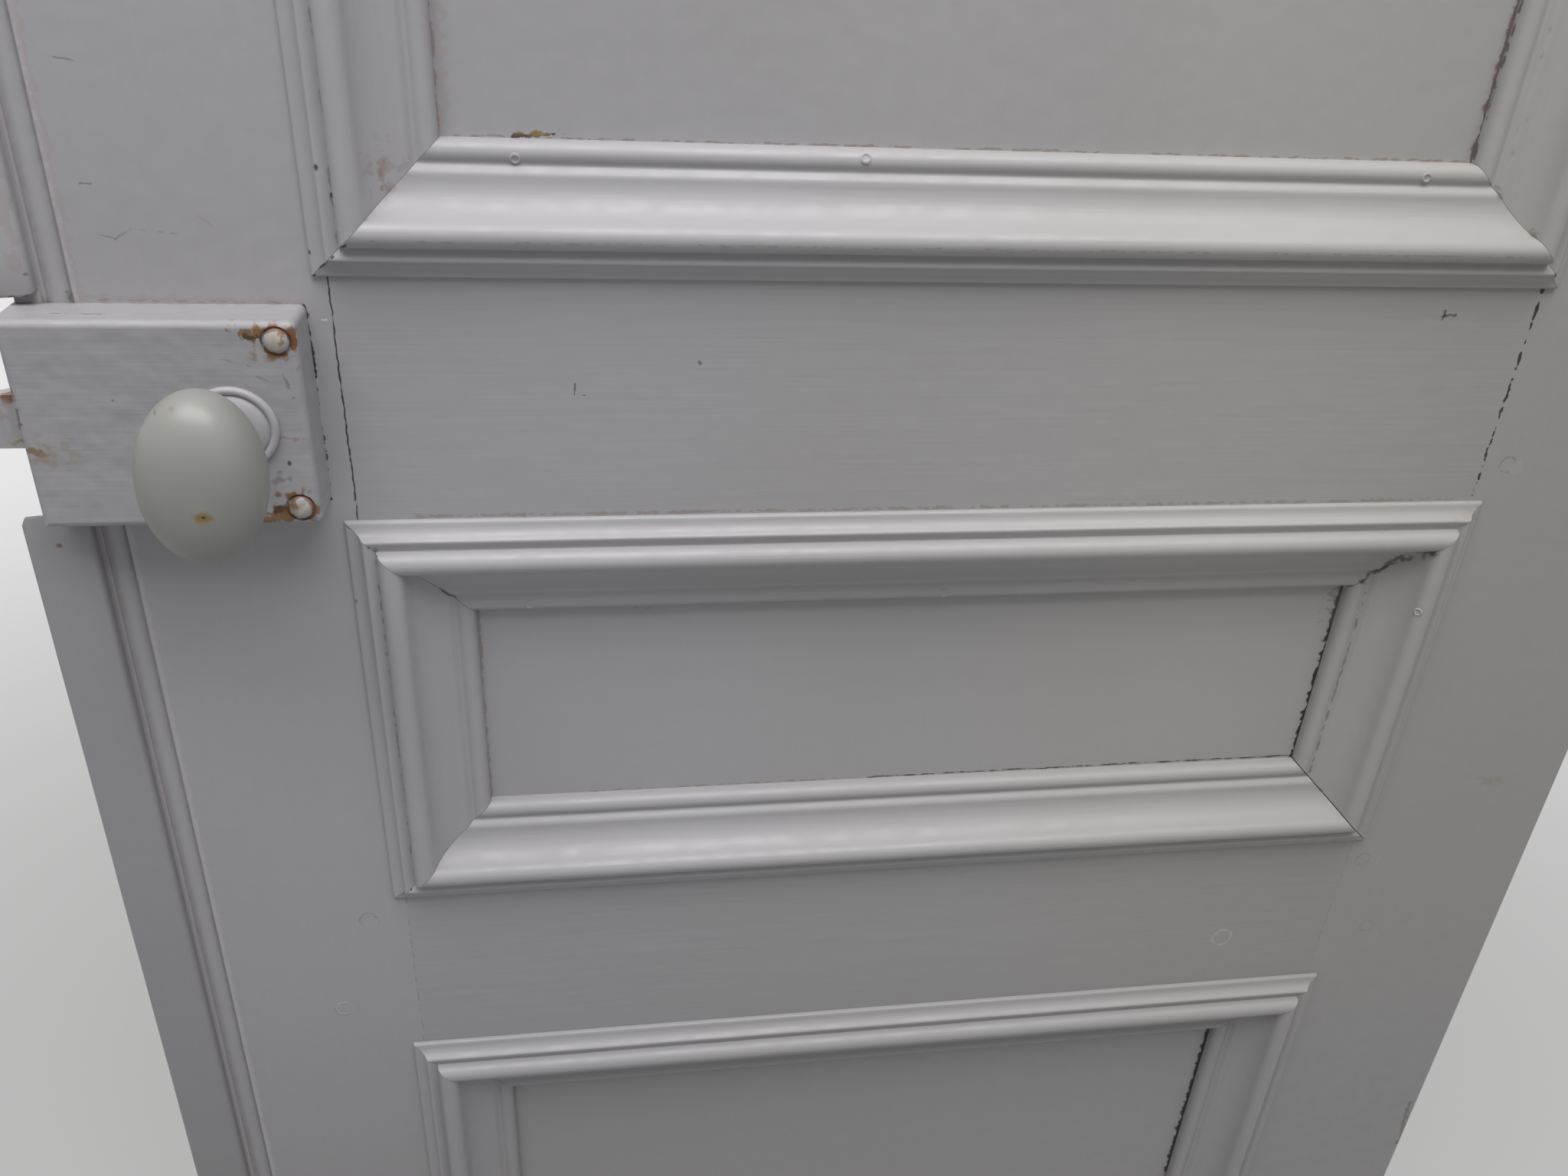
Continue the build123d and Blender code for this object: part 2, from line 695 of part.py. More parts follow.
with BuildPart() as latch_bolt:
    tip = lock_edge - latch_reach
    back = lock_edge + latch_back
    front_y = inside_face - latch_high
    rear_y = inside_face - latch_low
    with BuildSketch(Plane.XY.offset(lock_centre_z - latch_height / 2)):
        with BuildLine():
            Polyline((tip, front_y), (tip, front_y + latch_flat), (lock_edge - slide_gap, rear_y),
                     (back, rear_y), (back, front_y), (tip, front_y))
        make_face()
    extrude(amount=latch_height)
    rod((back, stem_y, lock_centre_z), (1, 0, 0), stem_radius,
        lock_edge + yoke_start - back)
    horn_reach = spindle_from_edge + horn_tip + horn_gap
    yoke_end = spindle_from_edge + hub_radius + yoke_far_clearance + yoke_bar
    yoke_out = (latch_out - yoke_thickness / 2, latch_out + yoke_thickness / 2)
    lock_block((yoke_start, yoke_end), yoke_out, (-yoke_half_height, yoke_half_height))
    lock_block((yoke_start + yoke_bar, horn_reach), yoke_out,
               (yoke_bar - yoke_half_height, yoke_half_height - yoke_bar), Mode.SUBTRACT)
    lock_block((horn_reach, yoke_end - yoke_bar), yoke_out, (-lug_inner, lug_inner),
               Mode.SUBTRACT)
save(latch_bolt, "latch_bolt")

with BuildPart() as latch_spring:
    coil_radius = stem_radius + spring_clearance + spring_wire
    coil_start = back + spring_seat_gap + spring_wire
    coil_length = lock_edge + guide_start - spring_seat_gap - spring_wire - coil_start
    with BuildLine() as coil:
        Helix(coil_length / spring_turns, coil_length, coil_radius,
              center=(coil_start, stem_y, lock_centre_z), direction=(1, 0, 0))
    with BuildSketch(Plane(origin=coil.line @ 0, z_dir=coil.line % 0)):
        Circle(spring_wire)
    sweep(path=coil.line, is_frenet=True)
save(latch_spring, "latch_spring")

with BuildPart() as follower:
    hub_low = back_plate_thickness + slide_gap
    hub_high = inner_depth - slide_gap
    rod((spindle_x, inside_face, lock_centre_z), (0, -1, 0), journal_radius, case_depth)
    rod((spindle_x, inside_face - hub_low, lock_centre_z), (0, -1, 0), hub_radius,
        hub_high - hub_low)
    horn_plane = Plane(origin=(spindle_x, inside_face - latch_out + horn_thickness / 2,
                               lock_centre_z), x_dir=(1, 0, 0), z_dir=(0, -1, 0))
    with BuildSketch(horn_plane):
        SlotCenterToCenter(2 * horn_centre, 2 * horn_tip, rotation=90)
    extrude(amount=horn_thickness)
    block((spindle_x - spindle_side / 2 - socket_gap, spindle_x + spindle_side / 2 + socket_gap),
          (case_front, inside_face),
          (lock_centre_z - spindle_side / 2 - socket_gap,
           lock_centre_z + spindle_side / 2 + socket_gap), Mode.SUBTRACT)
save(follower, "follower")

with BuildPart() as dead_bolt:
    tail_out = (bolt_high - tail_thickness, bolt_high)
    tail_low = bolt_centre - tail_height / 2
    lock_block((0, bolt_head_length), (bolt_low, bolt_high),
               (bolt_centre - bolt_height / 2, bolt_centre + bolt_height / 2))
    lock_block((bolt_head_length, tail_end), tail_out, (tail_low, tail_top))
    slot_reach = stud_radius + slide_gap
    lock_block((stud_from_edge - slot_reach, stud_from_edge + bolt_travel + slot_reach),
               tail_out, (bolt_centre - slot_reach, bolt_centre + slot_reach), Mode.SUBTRACT)
    lock_block((talon_start, talon_start + talon_width), tail_out,
               (tail_low, tail_low + talon_depth), Mode.SUBTRACT)
save(dead_bolt, "dead_bolt")

with BuildPart() as dead_bolt_spring:
    spring_plane = Plane(origin=(lock_edge, inside_face - bolt_high + tail_thickness,
                                 lock_centre_z), x_dir=(1, 0, 0), z_dir=(0, -1, 0))
    clamped = anchor_top - anchor_height - flat_spring_thickness / 2
    touching = tail_top + flat_spring_gap + flat_spring_thickness / 2
    with BuildSketch(spring_plane):
        with BuildLine() as leaf_line:
            Line((anchor_start + anchor_length, clamped), (anchor_start, clamped))
            TangentArc((anchor_start, clamped), (stud_from_edge + talon_width, touching),
                       tangent=(-1, 0))
        trace(line_width=flat_spring_thickness)
    extrude(amount=tail_thickness)
save(dead_bolt_spring, "dead_bolt_spring")


# Spindle, roses, necks and knobs
knob_flat_depth = knob_half_depth - knob_flat
knob_seat = knob_out - knob_flat_depth
spindle_reach = knob_seat + neck_stub_length - spindle_end_gap

with BuildPart() as spindle:
    block((spindle_x - spindle_side / 2, spindle_x + spindle_side / 2),
          (case_front - spindle_reach, outside_face + spindle_reach),
          (lock_centre_z - spindle_side / 2, lock_centre_z + spindle_side / 2))
save(spindle, "spindle")

with BuildPart() as inside_rose:
    rose_bore = neck_collar + running_gap
    ring_inner = rose_radius - rose_ring_width
    valley = rose_ring_height - rose_groove
    with BuildSketch(turning_plane(spindle_x, case_front, lock_centre_z, -1)):
        with BuildLine():
            ThreePointArc((rose_radius, 0), (rose_radius - rose_ring_width / 2, rose_ring_height),
                          (ring_inner, valley))
            ThreePointArc((ring_inner, valley),
                          ((ring_inner + rose_bore) / 2, rose_dome - rose_groove / 3),
                          (rose_bore, rose_dome))
            Polyline((rose_bore, rose_dome), (rose_bore, 0), (rose_radius, 0))
        make_face()
    revolve(axis=Axis((spindle_x, case_front, lock_centre_z), (0, -1, 0)))
save(inside_rose, "inside_rose")

with BuildPart() as outside_rose:
    with BuildSketch(turning_plane(spindle_x, outside_face, lock_centre_z, 1)):
        with BuildLine():
            Polyline((rose_bore, outer_rose_dome), (rose_bore, 0), (outer_rose_radius, 0),
                     (outer_rose_radius, outer_rose_edge))
            ThreePointArc((outer_rose_radius, outer_rose_edge),
                          ((outer_rose_radius + rose_bore) / 2, outer_rose_dome * 0.86),
                          (rose_bore, outer_rose_dome))
        make_face()
    revolve(axis=Axis((spindle_x, outside_face, lock_centre_z), (0, 1, 0)))
    for screw_start in rose_screw_places:
        screw(screw_start, (0, -1, 0), rose_screw_radius + screw_gap,
              rose_screw_head + screw_gap, rose_screw_length, Mode.SUBTRACT)
        rod(screw_start, (0, 1, 0), rose_screw_head + screw_gap, outer_rose_dome, Mode.SUBTRACT)
save(outside_rose, "outside_rose")

with BuildPart() as rose_screws:
    for screw_start in rose_screw_places:
        screw(screw_start, (0, -1, 0), rose_screw_radius, rose_screw_head, rose_screw_length)
save(rose_screws, "rose_screws")


def make_neck(name, face_y, outward, collar_height):
    """A turned neck that runs in the rose, carries the knob and has a square socket."""
    start = slide_gap
    with BuildPart() as neck:
        with BuildSketch(turning_plane(spindle_x, face_y, lock_centre_z, outward)):
            disc_start = knob_seat - neck_disc_thickness
            with BuildLine():
                Polyline((0, start), (neck_collar, start), (neck_collar, collar_height),
                         (neck_waist, collar_height + neck_collar - neck_waist),
                         (neck_waist, disc_start - neck_flare))
                TangentArc((neck_waist, disc_start - neck_flare), (neck_disc, disc_start),
                           tangent=(0, 1))
                Polyline((neck_disc, disc_start), (neck_disc, knob_seat),
                         (neck_waist, knob_seat), (neck_waist, knob_seat + neck_stub_length),
                         (0, knob_seat + neck_stub_length), (0, start))
            make_face()
        revolve(axis=Axis((spindle_x, face_y, lock_centre_z), (0, outward, 0)))
        half = spindle_side / 2 + socket_gap
        block((spindle_x - half, spindle_x + half),
              sorted((face_y, face_y + outward * spindle_reach)),
              (lock_centre_z - half, lock_centre_z + half), Mode.SUBTRACT)
    save(neck, name)


# The knob is turned round, flat where its neck carries it, then drawn out to an oval
with BuildPart() as oval:
    with BuildSketch(Plane.XZ):
        Ellipse(knob_half_width, knob_half_depth)
        Rectangle(2 * knob_half_width, 2 * knob_half_depth, align=(Align.MAX, Align.CENTER),
                  mode=Mode.SUBTRACT)
        with Locations((0, -knob_flat_depth)):
            Rectangle(2 * knob_half_width, knob_half_depth, align=(Align.CENTER, Align.MAX),
                      mode=Mode.SUBTRACT)
    revolve(axis=Axis.Z)
    scale(by=(1, knob_half_length / knob_half_width, 1))
    rod((0, 0, -knob_flat_depth), (0, 0, 1), neck_waist, neck_stub_length, Mode.SUBTRACT)


def make_knob(name, face_y, outward):
    """An oval knob on its neck, its long way leaning a little from upright."""
    out = Vector(0, outward, 0)
    long_way = Vector(0, 0, 1).rotate(Axis.Y, knob_lean)
    place = Plane(origin=(spindle_x, face_y + outward * knob_out, lock_centre_z),
                  x_dir=long_way.cross(out), z_dir=out)
    with BuildPart() as knob:
        add(place * oval.part)
    save(knob, name)


make_neck("inside_neck", case_front, -1, rose_dome + rose_ring_height)
make_neck("outside_neck", outside_face, 1, outer_rose_dome + rose_ring_height)
make_knob("inside_knob", case_front, -1)
make_knob("outside_knob", outside_face, 1)

if __name__ == "__main__":
    print("knob turn", round(degrees(latch_travel / horn_centre), 2), "degrees")
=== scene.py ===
# %% [markdown]
# # Dressing a painted panelled door
# The CAD model of this door already has the pieces in their places: stiles, rails, panels,
# mouldings, a rim lock, knobs and hinges. Blender's part is the look: old thick paint, rust, china
# and the small damage of many years. We load the CAD model first and never move it, so the
# picture and the model can't drift apart. Lengths are in metres; marks, sections and screws are
# easier to read in millimetres, and say so.

# %% Load the door
import math

import bmesh
import bpy
from mathutils import Matrix, Vector, noise


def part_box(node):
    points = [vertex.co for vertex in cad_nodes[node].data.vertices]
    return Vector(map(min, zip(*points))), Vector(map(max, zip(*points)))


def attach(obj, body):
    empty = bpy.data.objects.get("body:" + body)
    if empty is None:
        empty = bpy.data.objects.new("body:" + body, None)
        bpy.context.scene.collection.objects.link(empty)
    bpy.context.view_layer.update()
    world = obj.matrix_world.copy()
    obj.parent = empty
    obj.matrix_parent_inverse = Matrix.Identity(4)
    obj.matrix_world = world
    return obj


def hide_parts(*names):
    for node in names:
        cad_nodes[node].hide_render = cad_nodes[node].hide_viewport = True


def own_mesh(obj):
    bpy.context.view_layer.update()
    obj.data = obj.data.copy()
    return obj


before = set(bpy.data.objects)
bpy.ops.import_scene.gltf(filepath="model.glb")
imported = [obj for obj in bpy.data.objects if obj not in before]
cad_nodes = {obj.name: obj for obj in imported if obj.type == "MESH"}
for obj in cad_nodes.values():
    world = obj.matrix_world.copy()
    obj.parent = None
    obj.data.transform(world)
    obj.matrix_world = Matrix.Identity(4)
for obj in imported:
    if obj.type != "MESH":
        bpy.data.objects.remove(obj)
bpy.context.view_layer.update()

MM = 0.001
print("CAD nodes:", len(cad_nodes))

# %% [markdown]
# ## Short names
# A material or a tree of Geometry Nodes is made of many small nodes, and each takes several lines
# when it is written out. The kinds that come again and again get short functions here: any node, a
# sum, a mixed colour, a smooth step, noise, a bump, and a mesh or an object that is ready to use.

# %% Make short names for nodes, meshes and objects
def add_node(tree, kind, inputs=None, **settings):
    """One node; a kind without the word Node is a shader node. inputs are its sockets by name or number,
    each a value, another node's output, or another node for its first output."""
    made = tree.nodes.new(kind if "Node" in kind else "ShaderNode" + kind)
    for name, value in settings.items():
        setattr(made, name, value)
    for name, value in (inputs or {}).items():
        if isinstance(value, bpy.types.Node):
            value = value.outputs[0]
        if isinstance(value, bpy.types.NodeSocket):
            tree.links.new(value, made.inputs[name])
        else:
            made.inputs[name].default_value = value
    return made


def maths(tree, operation, first, second=0.0, clamp=False):
    """The result of one Math node."""
    return add_node(tree, "Math", {0: first, 1: second}, operation=operation, use_clamp=clamp).outputs[0]


def vector_maths(tree, operation, first, second=(0.0, 0.0, 0.0), result="Vector"):
    """One result, "Vector" or "Value", of a Vector Math node."""
    return add_node(tree, "VectorMath", {0: first, 1: second}, operation=operation).outputs[result]


def blend(tree, share, below, above):
    """A colour mixed from below to above by share."""
    return add_node(tree, "Mix", {0: share, 6: below, 7: above}, data_type="RGBA").outputs[2]


def ramp(tree, value, low, high, start=0.0, stop=1.0):
    """value mapped smoothly from low..high to start..stop."""
    inputs = {"Value": value, "From Min": low, "From Max": high, "To Min": start, "To Max": stop}
    return add_node(tree, "MapRange", inputs, interpolation_type="SMOOTHSTEP").outputs[0]


def cloud(tree, place, scale, detail=2.0, stretch=(1.0, 1.0, 1.0)):
    """Noise from 0 to 1, with features 1 / scale metres across, stretched by stretch."""
    if stretch != (1.0, 1.0, 1.0):
        place = add_node(tree, "Mapping", {"Vector": place, "Scale": stretch})
    return add_node(tree, "TexNoise", {"Vector": place, "Scale": scale, "Detail": detail}).outputs[0]


def start_material(name):
    """A new material, its tree, its shader and the Object coordinates."""
    material = bpy.data.materials.new(name)
    material.use_nodes = True
    tree = material.node_tree
    place = add_node(tree, "TexCoord").outputs["Object"]
    return material, tree, tree.nodes["Principled BSDF"], place


def finish_look(tree, shader, colour, roughness, height):
    """Give the shader its colour and its roughness, and bend its normals by a height in metres."""
    tree.links.new(colour, shader.inputs["Base Color"])
    tree.links.new(roughness, shader.inputs["Roughness"])
    bump = add_node(tree, "Bump", {"Strength": 1.0, "Distance": 1.0, "Height": height})
    tree.links.new(bump.outputs[0], shader.inputs["Normal"])


def new_object(name, data):
    """An object with this data, in the scene."""
    made = bpy.data.objects.new(name, data)
    bpy.context.scene.collection.objects.link(made)
    return made


def mesh_of(name, form, materials):
    """The mesh of a bmesh form, which is freed."""
    mesh = bpy.data.meshes.new(name)
    form.to_mesh(mesh)
    form.free()
    for material in materials:
        mesh.materials.append(material)
    return mesh


def smooth_mesh_of(name, form, materials, sharp_angle):
    """The same, but facing outward and smooth, except where it turns by more than sharp_angle degrees."""
    for form_face in form.faces:
        form_face.smooth = True
    bmesh.ops.recalc_face_normals(form, faces=form.faces)
    mesh = mesh_of(name, form, materials)
    mesh.set_sharp_from_angle(angle=math.radians(sharp_angle))
    return mesh

# %% [markdown]
# ## Camera
# The picture was taken close to the door, from above and a little left of its middle. Three
# directions fix such a view: right, up and back, measured from the straight edges of the rails and
# stiles. A matrix holds them as its columns, which is safer than three angles.

# %% Place the camera
view_right = Vector((0.98862, -0.14210, 0.04941))
view_up = Vector((0.02616, 0.48580, 0.87368))
view_back = Vector((-0.14815, -0.86244, 0.48398))
eye = Vector((-0.17141, -0.55487, 1.20314))

camera_data = bpy.data.cameras.new("camera")
camera_data.lens = 28.96
camera_data.sensor_width = 36.0
camera_data.clip_start = 0.02
camera = new_object("camera", camera_data)
view_turn = Matrix((view_right, view_up, view_back)).transposed()
camera.matrix_world = Matrix.Translation(eye) @ view_turn.to_4x4()
bpy.context.scene.camera = camera
print("camera height, m:", round(eye.z, 3))

# %% [markdown]
# ## Floor, background and light
# A door photographed outdoors under a pale sky is lit mostly from above: tops of the mouldings are
# bright and their undersides dark. A wide soft lamp over each face does the same, and a dim even
# world fills the shade. The background is only what the camera and reflections see, so its
# brightness is set apart from the light that reaches the paint.

# %% Build the floor and the background
bpy.context.scene.view_settings.view_transform = "Standard"
background_grey, floor_grey = (0.80, 0.80, 0.80, 1.0), (0.44, 0.44, 0.44, 1.0)
fill_colour, fill_light = (0.98, 0.99, 1.0, 1.0), 0.31
floor_radius, fade_start, fade_end = 14.0, 0.7, 2.8

world = bpy.data.worlds.new("studio")
bpy.context.scene.world = world
world.use_nodes = True
sky = world.node_tree
sky.nodes.clear()
rays = add_node(sky, "LightPath").outputs
seen = maths(sky, "MAXIMUM", rays["Is Camera Ray"], rays["Is Glossy Ray"])
seen = maths(sky, "MAXIMUM", seen, rays["Is Transmission Ray"])
backdrop = add_node(sky, "Background", {"Color": background_grey, "Strength": 1.0})
fill = add_node(sky, "Background", {"Color": fill_colour, "Strength": fill_light})
add_node(sky, "OutputWorld", {"Surface": add_node(sky, "MixShader", {0: seen, 1: fill, 2: backdrop})})

floor_paint, tree, shader, place = start_material("floor")
shader.inputs["Base Color"].default_value = floor_grey
shader.inputs["Roughness"].default_value = 0.9
far_away = ramp(tree, vector_maths(tree, "LENGTH", place, result="Value"), fade_start, fade_end)
camera_sees = add_node(tree, "LightPath").outputs["Is Camera Ray"]
pale_air = add_node(tree, "Emission", {"Color": background_grey, "Strength": 1.0})
floor_look = add_node(tree, "MixShader", {0: maths(tree, "MULTIPLY", far_away, camera_sees),
                                          1: shader, 2: pale_air})
tree.links.new(floor_look.outputs[0], tree.nodes["Material Output"].inputs["Surface"])
floor_form = bmesh.new()
bmesh.ops.create_circle(floor_form, cap_ends=True, segments=96, radius=floor_radius)
floor = new_object("floor", mesh_of("floor", floor_form, [floor_paint]))
print("floor radius, m:", floor_radius)


# %% Hang the lamps
def soft_lamp(name, place, aim, power):
    """A wide, slightly warm studio lamp at place that points at aim."""
    data = bpy.data.lights.new(name, "AREA")
    data.shape = "RECTANGLE"
    data.size, data.size_y = 2.6, 1.4
    data.energy = power
    data.color = (1.0, 0.99, 0.98)
    lamp = new_object(name, data)
    lamp.location = place
    lamp.rotation_mode = "QUATERNION"
    lamp.rotation_quaternion = (Vector(aim) - Vector(place)).to_track_quat("-Z", "Y")
    return lamp


lamps = [soft_lamp("room_side_lamp", (-0.2, -0.90, 3.1), (0.0, -0.1, 1.0), 66.0),
         soft_lamp("outside_lamp", (0.3, 1.10, 3.1), (0.0, 0.1, 1.0), 54.0)]
print("lamps:", [lamp.name for lamp in lamps])

# %% [markdown]
# ## Old paint
# Many coats of oil paint, laid on with a brush, leave fine ridges along the stroke, soft lumps where
# older coats have chipped, and a grey that is a little violet by the lock and warmer towards the
# hinges. Painted shade darkens it towards the hinge edge and the foot, where less light falls on the
# door. Strokes, lumps and dust are noise, each at its own size, and all is read from Object
# coordinates, so that it stays put on the wood.

# %% Name the colours
paint_cool = (0.392, 0.386, 0.412, 1.0)
paint_warm = (0.398, 0.388, 0.374, 1.0)
paint_outside = (0.385, 0.378, 0.378, 1.0)
paint_dusty = (0.300, 0.288, 0.275, 1.0)
# painted shade: darker paint for the hinge edge and for the foot of the door, where less light falls
paint_shaded = (0.338, 0.330, 0.318, 1.0)
paint_foot_shade = (0.300, 0.294, 0.302, 1.0)
soot = (0.016, 0.013, 0.011, 1.0)
cream = (0.480, 0.420, 0.310, 1.0)
grime = (0.150, 0.125, 0.100, 1.0)
tan = (0.250, 0.190, 0.150, 1.0)
pink = (0.345, 0.275, 0.275, 1.0)
ochre = (0.240, 0.170, 0.050, 1.0)
orange = (0.200, 0.105, 0.040, 1.0)
rust = (0.170, 0.070, 0.026, 1.0)
deep_rust = (0.042, 0.018, 0.012, 1.0)
olive = (0.070, 0.062, 0.040, 1.0)
white = (0.640, 0.630, 0.600, 1.0)
# painted highlight for the quirks of the bead on the lock stile
quirk_highlight = (0.560, 0.530, 0.540, 1.0)
grey = (0.120, 0.118, 0.120, 1.0)
print("paint by the lock and by the hinges:", paint_cool[:3], paint_warm[:3])

# %% [markdown]
# ## Cracks, rings and spots
# Damage is local: a joint that has opened, rust round a screw, a nick where something struck. Each
# mark is a distance in space: to a line for a crack, to a point for a stain, and to the skin of a
# ball for the rim of a nail hole, because a flat face cuts a ball in a circle. Noise moves the edge
# of the mark in and out, so that no two look alike. Three small node groups measure the distances,
# and every paint uses the same three.

# %% Build the three measuring groups
VECTOR, NUMBER = "NodeSocketVector", "NodeSocketFloat"


def measuring_group(name, *sockets):
    """A shader group from Place, these sockets, Ragged and Noise to Share, and its inputs."""
    group = bpy.data.node_groups.new(name, "ShaderNodeTree")
    for socket, kind in [("Place", VECTOR), *sockets, ("Ragged", NUMBER), ("Noise", NUMBER)]:
        group.interface.new_socket(socket, in_out="INPUT", socket_type=kind)
    group.interface.new_socket("Share", in_out="OUTPUT", socket_type=NUMBER)
    return group, add_node(group, "NodeGroupInput").outputs


def close_group(group, given, gap, size):
    """Share is 1 well inside size and 0 beyond it; Noise moves that edge as far as Ragged says."""
    swing = maths(group, "MULTIPLY", maths(group, "SUBTRACT", given["Noise"], 0.5), given["Ragged"])
    reach = maths(group, "MULTIPLY", size, maths(group, "ADD", swing, 1.0))
    reach = maths(group, "MAXIMUM", reach, 1e-6)
    inner, outer = maths(group, "MULTIPLY", reach, 0.55), maths(group, "MULTIPLY", reach, 1.25)
    add_node(group, "NodeGroupOutput", {"Share": ramp(group, gap, inner, outer, 1.0, 0.0)})


group, given = measuring_group(
    "line_mark", ("Start", VECTOR), ("Along", VECTOR), ("Per Length", VECTOR), ("Width", NUMBER))
offset = vector_maths(group, "SUBTRACT", given["Place"], given["Start"])
run = vector_maths(group, "DOT_PRODUCT", offset, given["Per Length"], "Value")
run = maths(group, "ADD", run, clamp=True)
nearest = add_node(group, "VectorMath", {0: given["Along"], "Scale": run}, operation="SCALE")
close_group(group, given, vector_maths(group, "DISTANCE", offset, nearest, "Value"),
            maths(group, "MULTIPLY", given["Width"], 0.5))
line_group = group

group, given = measuring_group("spot_mark", ("Centre", VECTOR), ("Size", VECTOR))
offset = vector_maths(group, "SUBTRACT", given["Place"], given["Centre"])
offset = vector_maths(group, "DIVIDE", offset, given["Size"])
close_group(group, given, vector_maths(group, "LENGTH", offset, result="Value"), 0.85)
spot_group = group

group, given = measuring_group("ring_mark", ("Centre", VECTOR), ("Radius", NUMBER), ("Width", NUMBER))
reach = vector_maths(group, "DISTANCE", given["Place"], given["Centre"], "Value")
close_group(group, given, maths(group, "ABSOLUTE", maths(group, "SUBTRACT", reach, given["Radius"])),
            maths(group, "MULTIPLY", given["Width"], 0.5))
ring_group = group
print("measuring groups:", [group.name for group in (line_group, spot_group, ring_group)])


# %% Say how a mark is written down
def millimetres(point):
    """A point given in millimetres, in metres."""
    return tuple(value * MM for value in point)


def line(start, end, width, ragged, colour, strength=1.0):
    """A crack or streak from start to end; lengths in millimetres."""
    start, end = Vector(millimetres(start)), Vector(millimetres(end))
    along = end - start
    return line_group, {"Start": start, "Along": along, "Per Length": along / along.length_squared,
                        "Width": width * MM, "Ragged": ragged}, colour, strength


def spot(centre, size, ragged, colour, strength=1.0):
    """A stain or chip of half sizes size; lengths in millimetres."""
    inputs = {"Centre": millimetres(centre), "Size": millimetres(size), "Ragged": ragged}
    return spot_group, inputs, colour, strength


def ring(centre, radius, width, ragged, colour, strength=1.0):
    """The rim of a hole or of a screw head; lengths in millimetres."""
    inputs = {"Centre": millimetres(centre), "Radius": radius * MM, "Width": width * MM, "Ragged": ragged}
    return ring_group, inputs, colour, strength


def on_face(depth, rows):
    """Marks on a flat face at this depth; a row is a kind of mark and what it takes, points as (x, z)."""
    return [kind(*((part[0], depth, part[1]) if isinstance(part, tuple) and len(part) == 2 else part
                   for part in parts)) for kind, *parts in rows]


def add_marks(tree, place, colour, marks):
    """Lay marks over a colour. Coarse noise bends them by up to half of sway, fine noise frays them."""
    if not marks:
        return colour
    sway = 1.6 * MM
    bend = add_node(tree, "TexNoise", {"Vector": place, "Scale": 190.0, "Detail": 1.0})
    moved = add_node(tree, "VectorMath", {0: bend.outputs["Color"], 1: (sway,) * 3, 2: place},
                     operation="MULTIPLY_ADD").outputs[0]
    moved = vector_maths(tree, "SUBTRACT", moved, (sway / 2,) * 3)
    fraying = ramp(tree, cloud(tree, place, 230.0, 3.0), 0.3, 0.7)
    for group, inputs, tint, strength in marks:
        share = add_node(tree, "Group", {"Place": moved, "Noise": fraying, **inputs}, node_tree=group)
        colour = blend(tree, maths(tree, "MULTIPLY", share, strength), colour, tint)
    return colour


LEVEL, UPRIGHT = 0, 2
whole_width, hinge_shade_span, foot_shade_heights, both_faces = (-0.36, 0.36), (0.10, 0.36), (0.40, 0.85), (-0.004, 0.004)


def brushed_paint(name, stroke, marks=(), shade=1.0, dirt=0.03, lump=0.00020, stroke_depth=0.00003):
    """Thick old paint brushed LEVEL or UPRIGHT, with its own shade and marks; depths in metres."""
    material, tree, shader, place = start_material(name)
    across_door, through_door, up_door = add_node(tree, "SeparateXYZ", {0: place}).outputs
    # the last two colours are painted shade, for the hinge edge and for the foot
    left_paint, right_paint, hinge_paint, foot_shade_paint = [
        tuple(value * shade for value in paint[:3]) + (1.0,)
        for paint in (paint_cool, paint_warm, paint_shaded, paint_foot_shade)]
    colour = blend(tree, ramp(tree, across_door, *whole_width), left_paint, right_paint)
    # painted shade: the paint darkens towards the hinge edge, where less light falls
    colour = blend(tree, ramp(tree, across_door, *hinge_shade_span), colour, hinge_paint)
    colour = blend(tree, ramp(tree, through_door, *both_faces), colour, paint_outside)
    stretch = [1.0, 1.0, 1.0]
    stretch[stroke] = 0.03
    strokes = cloud(tree, place, 620.0, 2.0, tuple(stretch))
    lumps = cloud(tree, place, 95.0, 1.0)
    drift = cloud(tree, place, 4.0, 1.0)
    colour = blend(tree, ramp(tree, drift, 0.42, 0.72, 0.0, 0.22), colour, paint_dusty)
    # painted shade: the paint darkens towards the foot of the door, where less light falls
    colour = blend(tree, ramp(tree, up_door, *foot_shade_heights, 0.9, 0.0), colour, foot_shade_paint)
    colour = blend(tree, ramp(tree, strokes, 0.2, 0.8, dirt, 0.0), colour, grime)
    colour = add_marks(tree, place, colour, marks)
    rough = ramp(tree, lumps, 0.3, 0.7, 0.40, 0.56)
    height = maths(tree, "ADD", maths(tree, "MULTIPLY", strokes, stroke_depth),
                   maths(tree, "MULTIPLY", lumps, lump))
    finish_look(tree, shader, colour, rough, height)
    return material


def dress(names, material):
    """Give these CAD nodes one material."""
    for name in names:
        for material_slot in cad_nodes[name].material_slots:
            material_slot.material = material

# %% [markdown]
# ## Stiles, rails and panels
# Two stiles and four rails, all of thick wood, are jointed at their ends, and the panels are thin
# boards held between them. On the real door the paint has cracked along the joints, and the panels
# have shrunk away from the mouldings on the hinge side, which leaves a black ragged gap there. We
# keep the CAD pieces and give each board that the photo shows its own paint, with its own marks and
# with the stroke of the brush along the board.

# %% Write down the marks of the boards
joint_left, joint_right = -276.25, 276.25
sight_left, sight_right = -228.75, 228.75
face, panel_face, case_face = -22.0, -9.0, -46.0  # depths from the middle of the leaf, millimetres

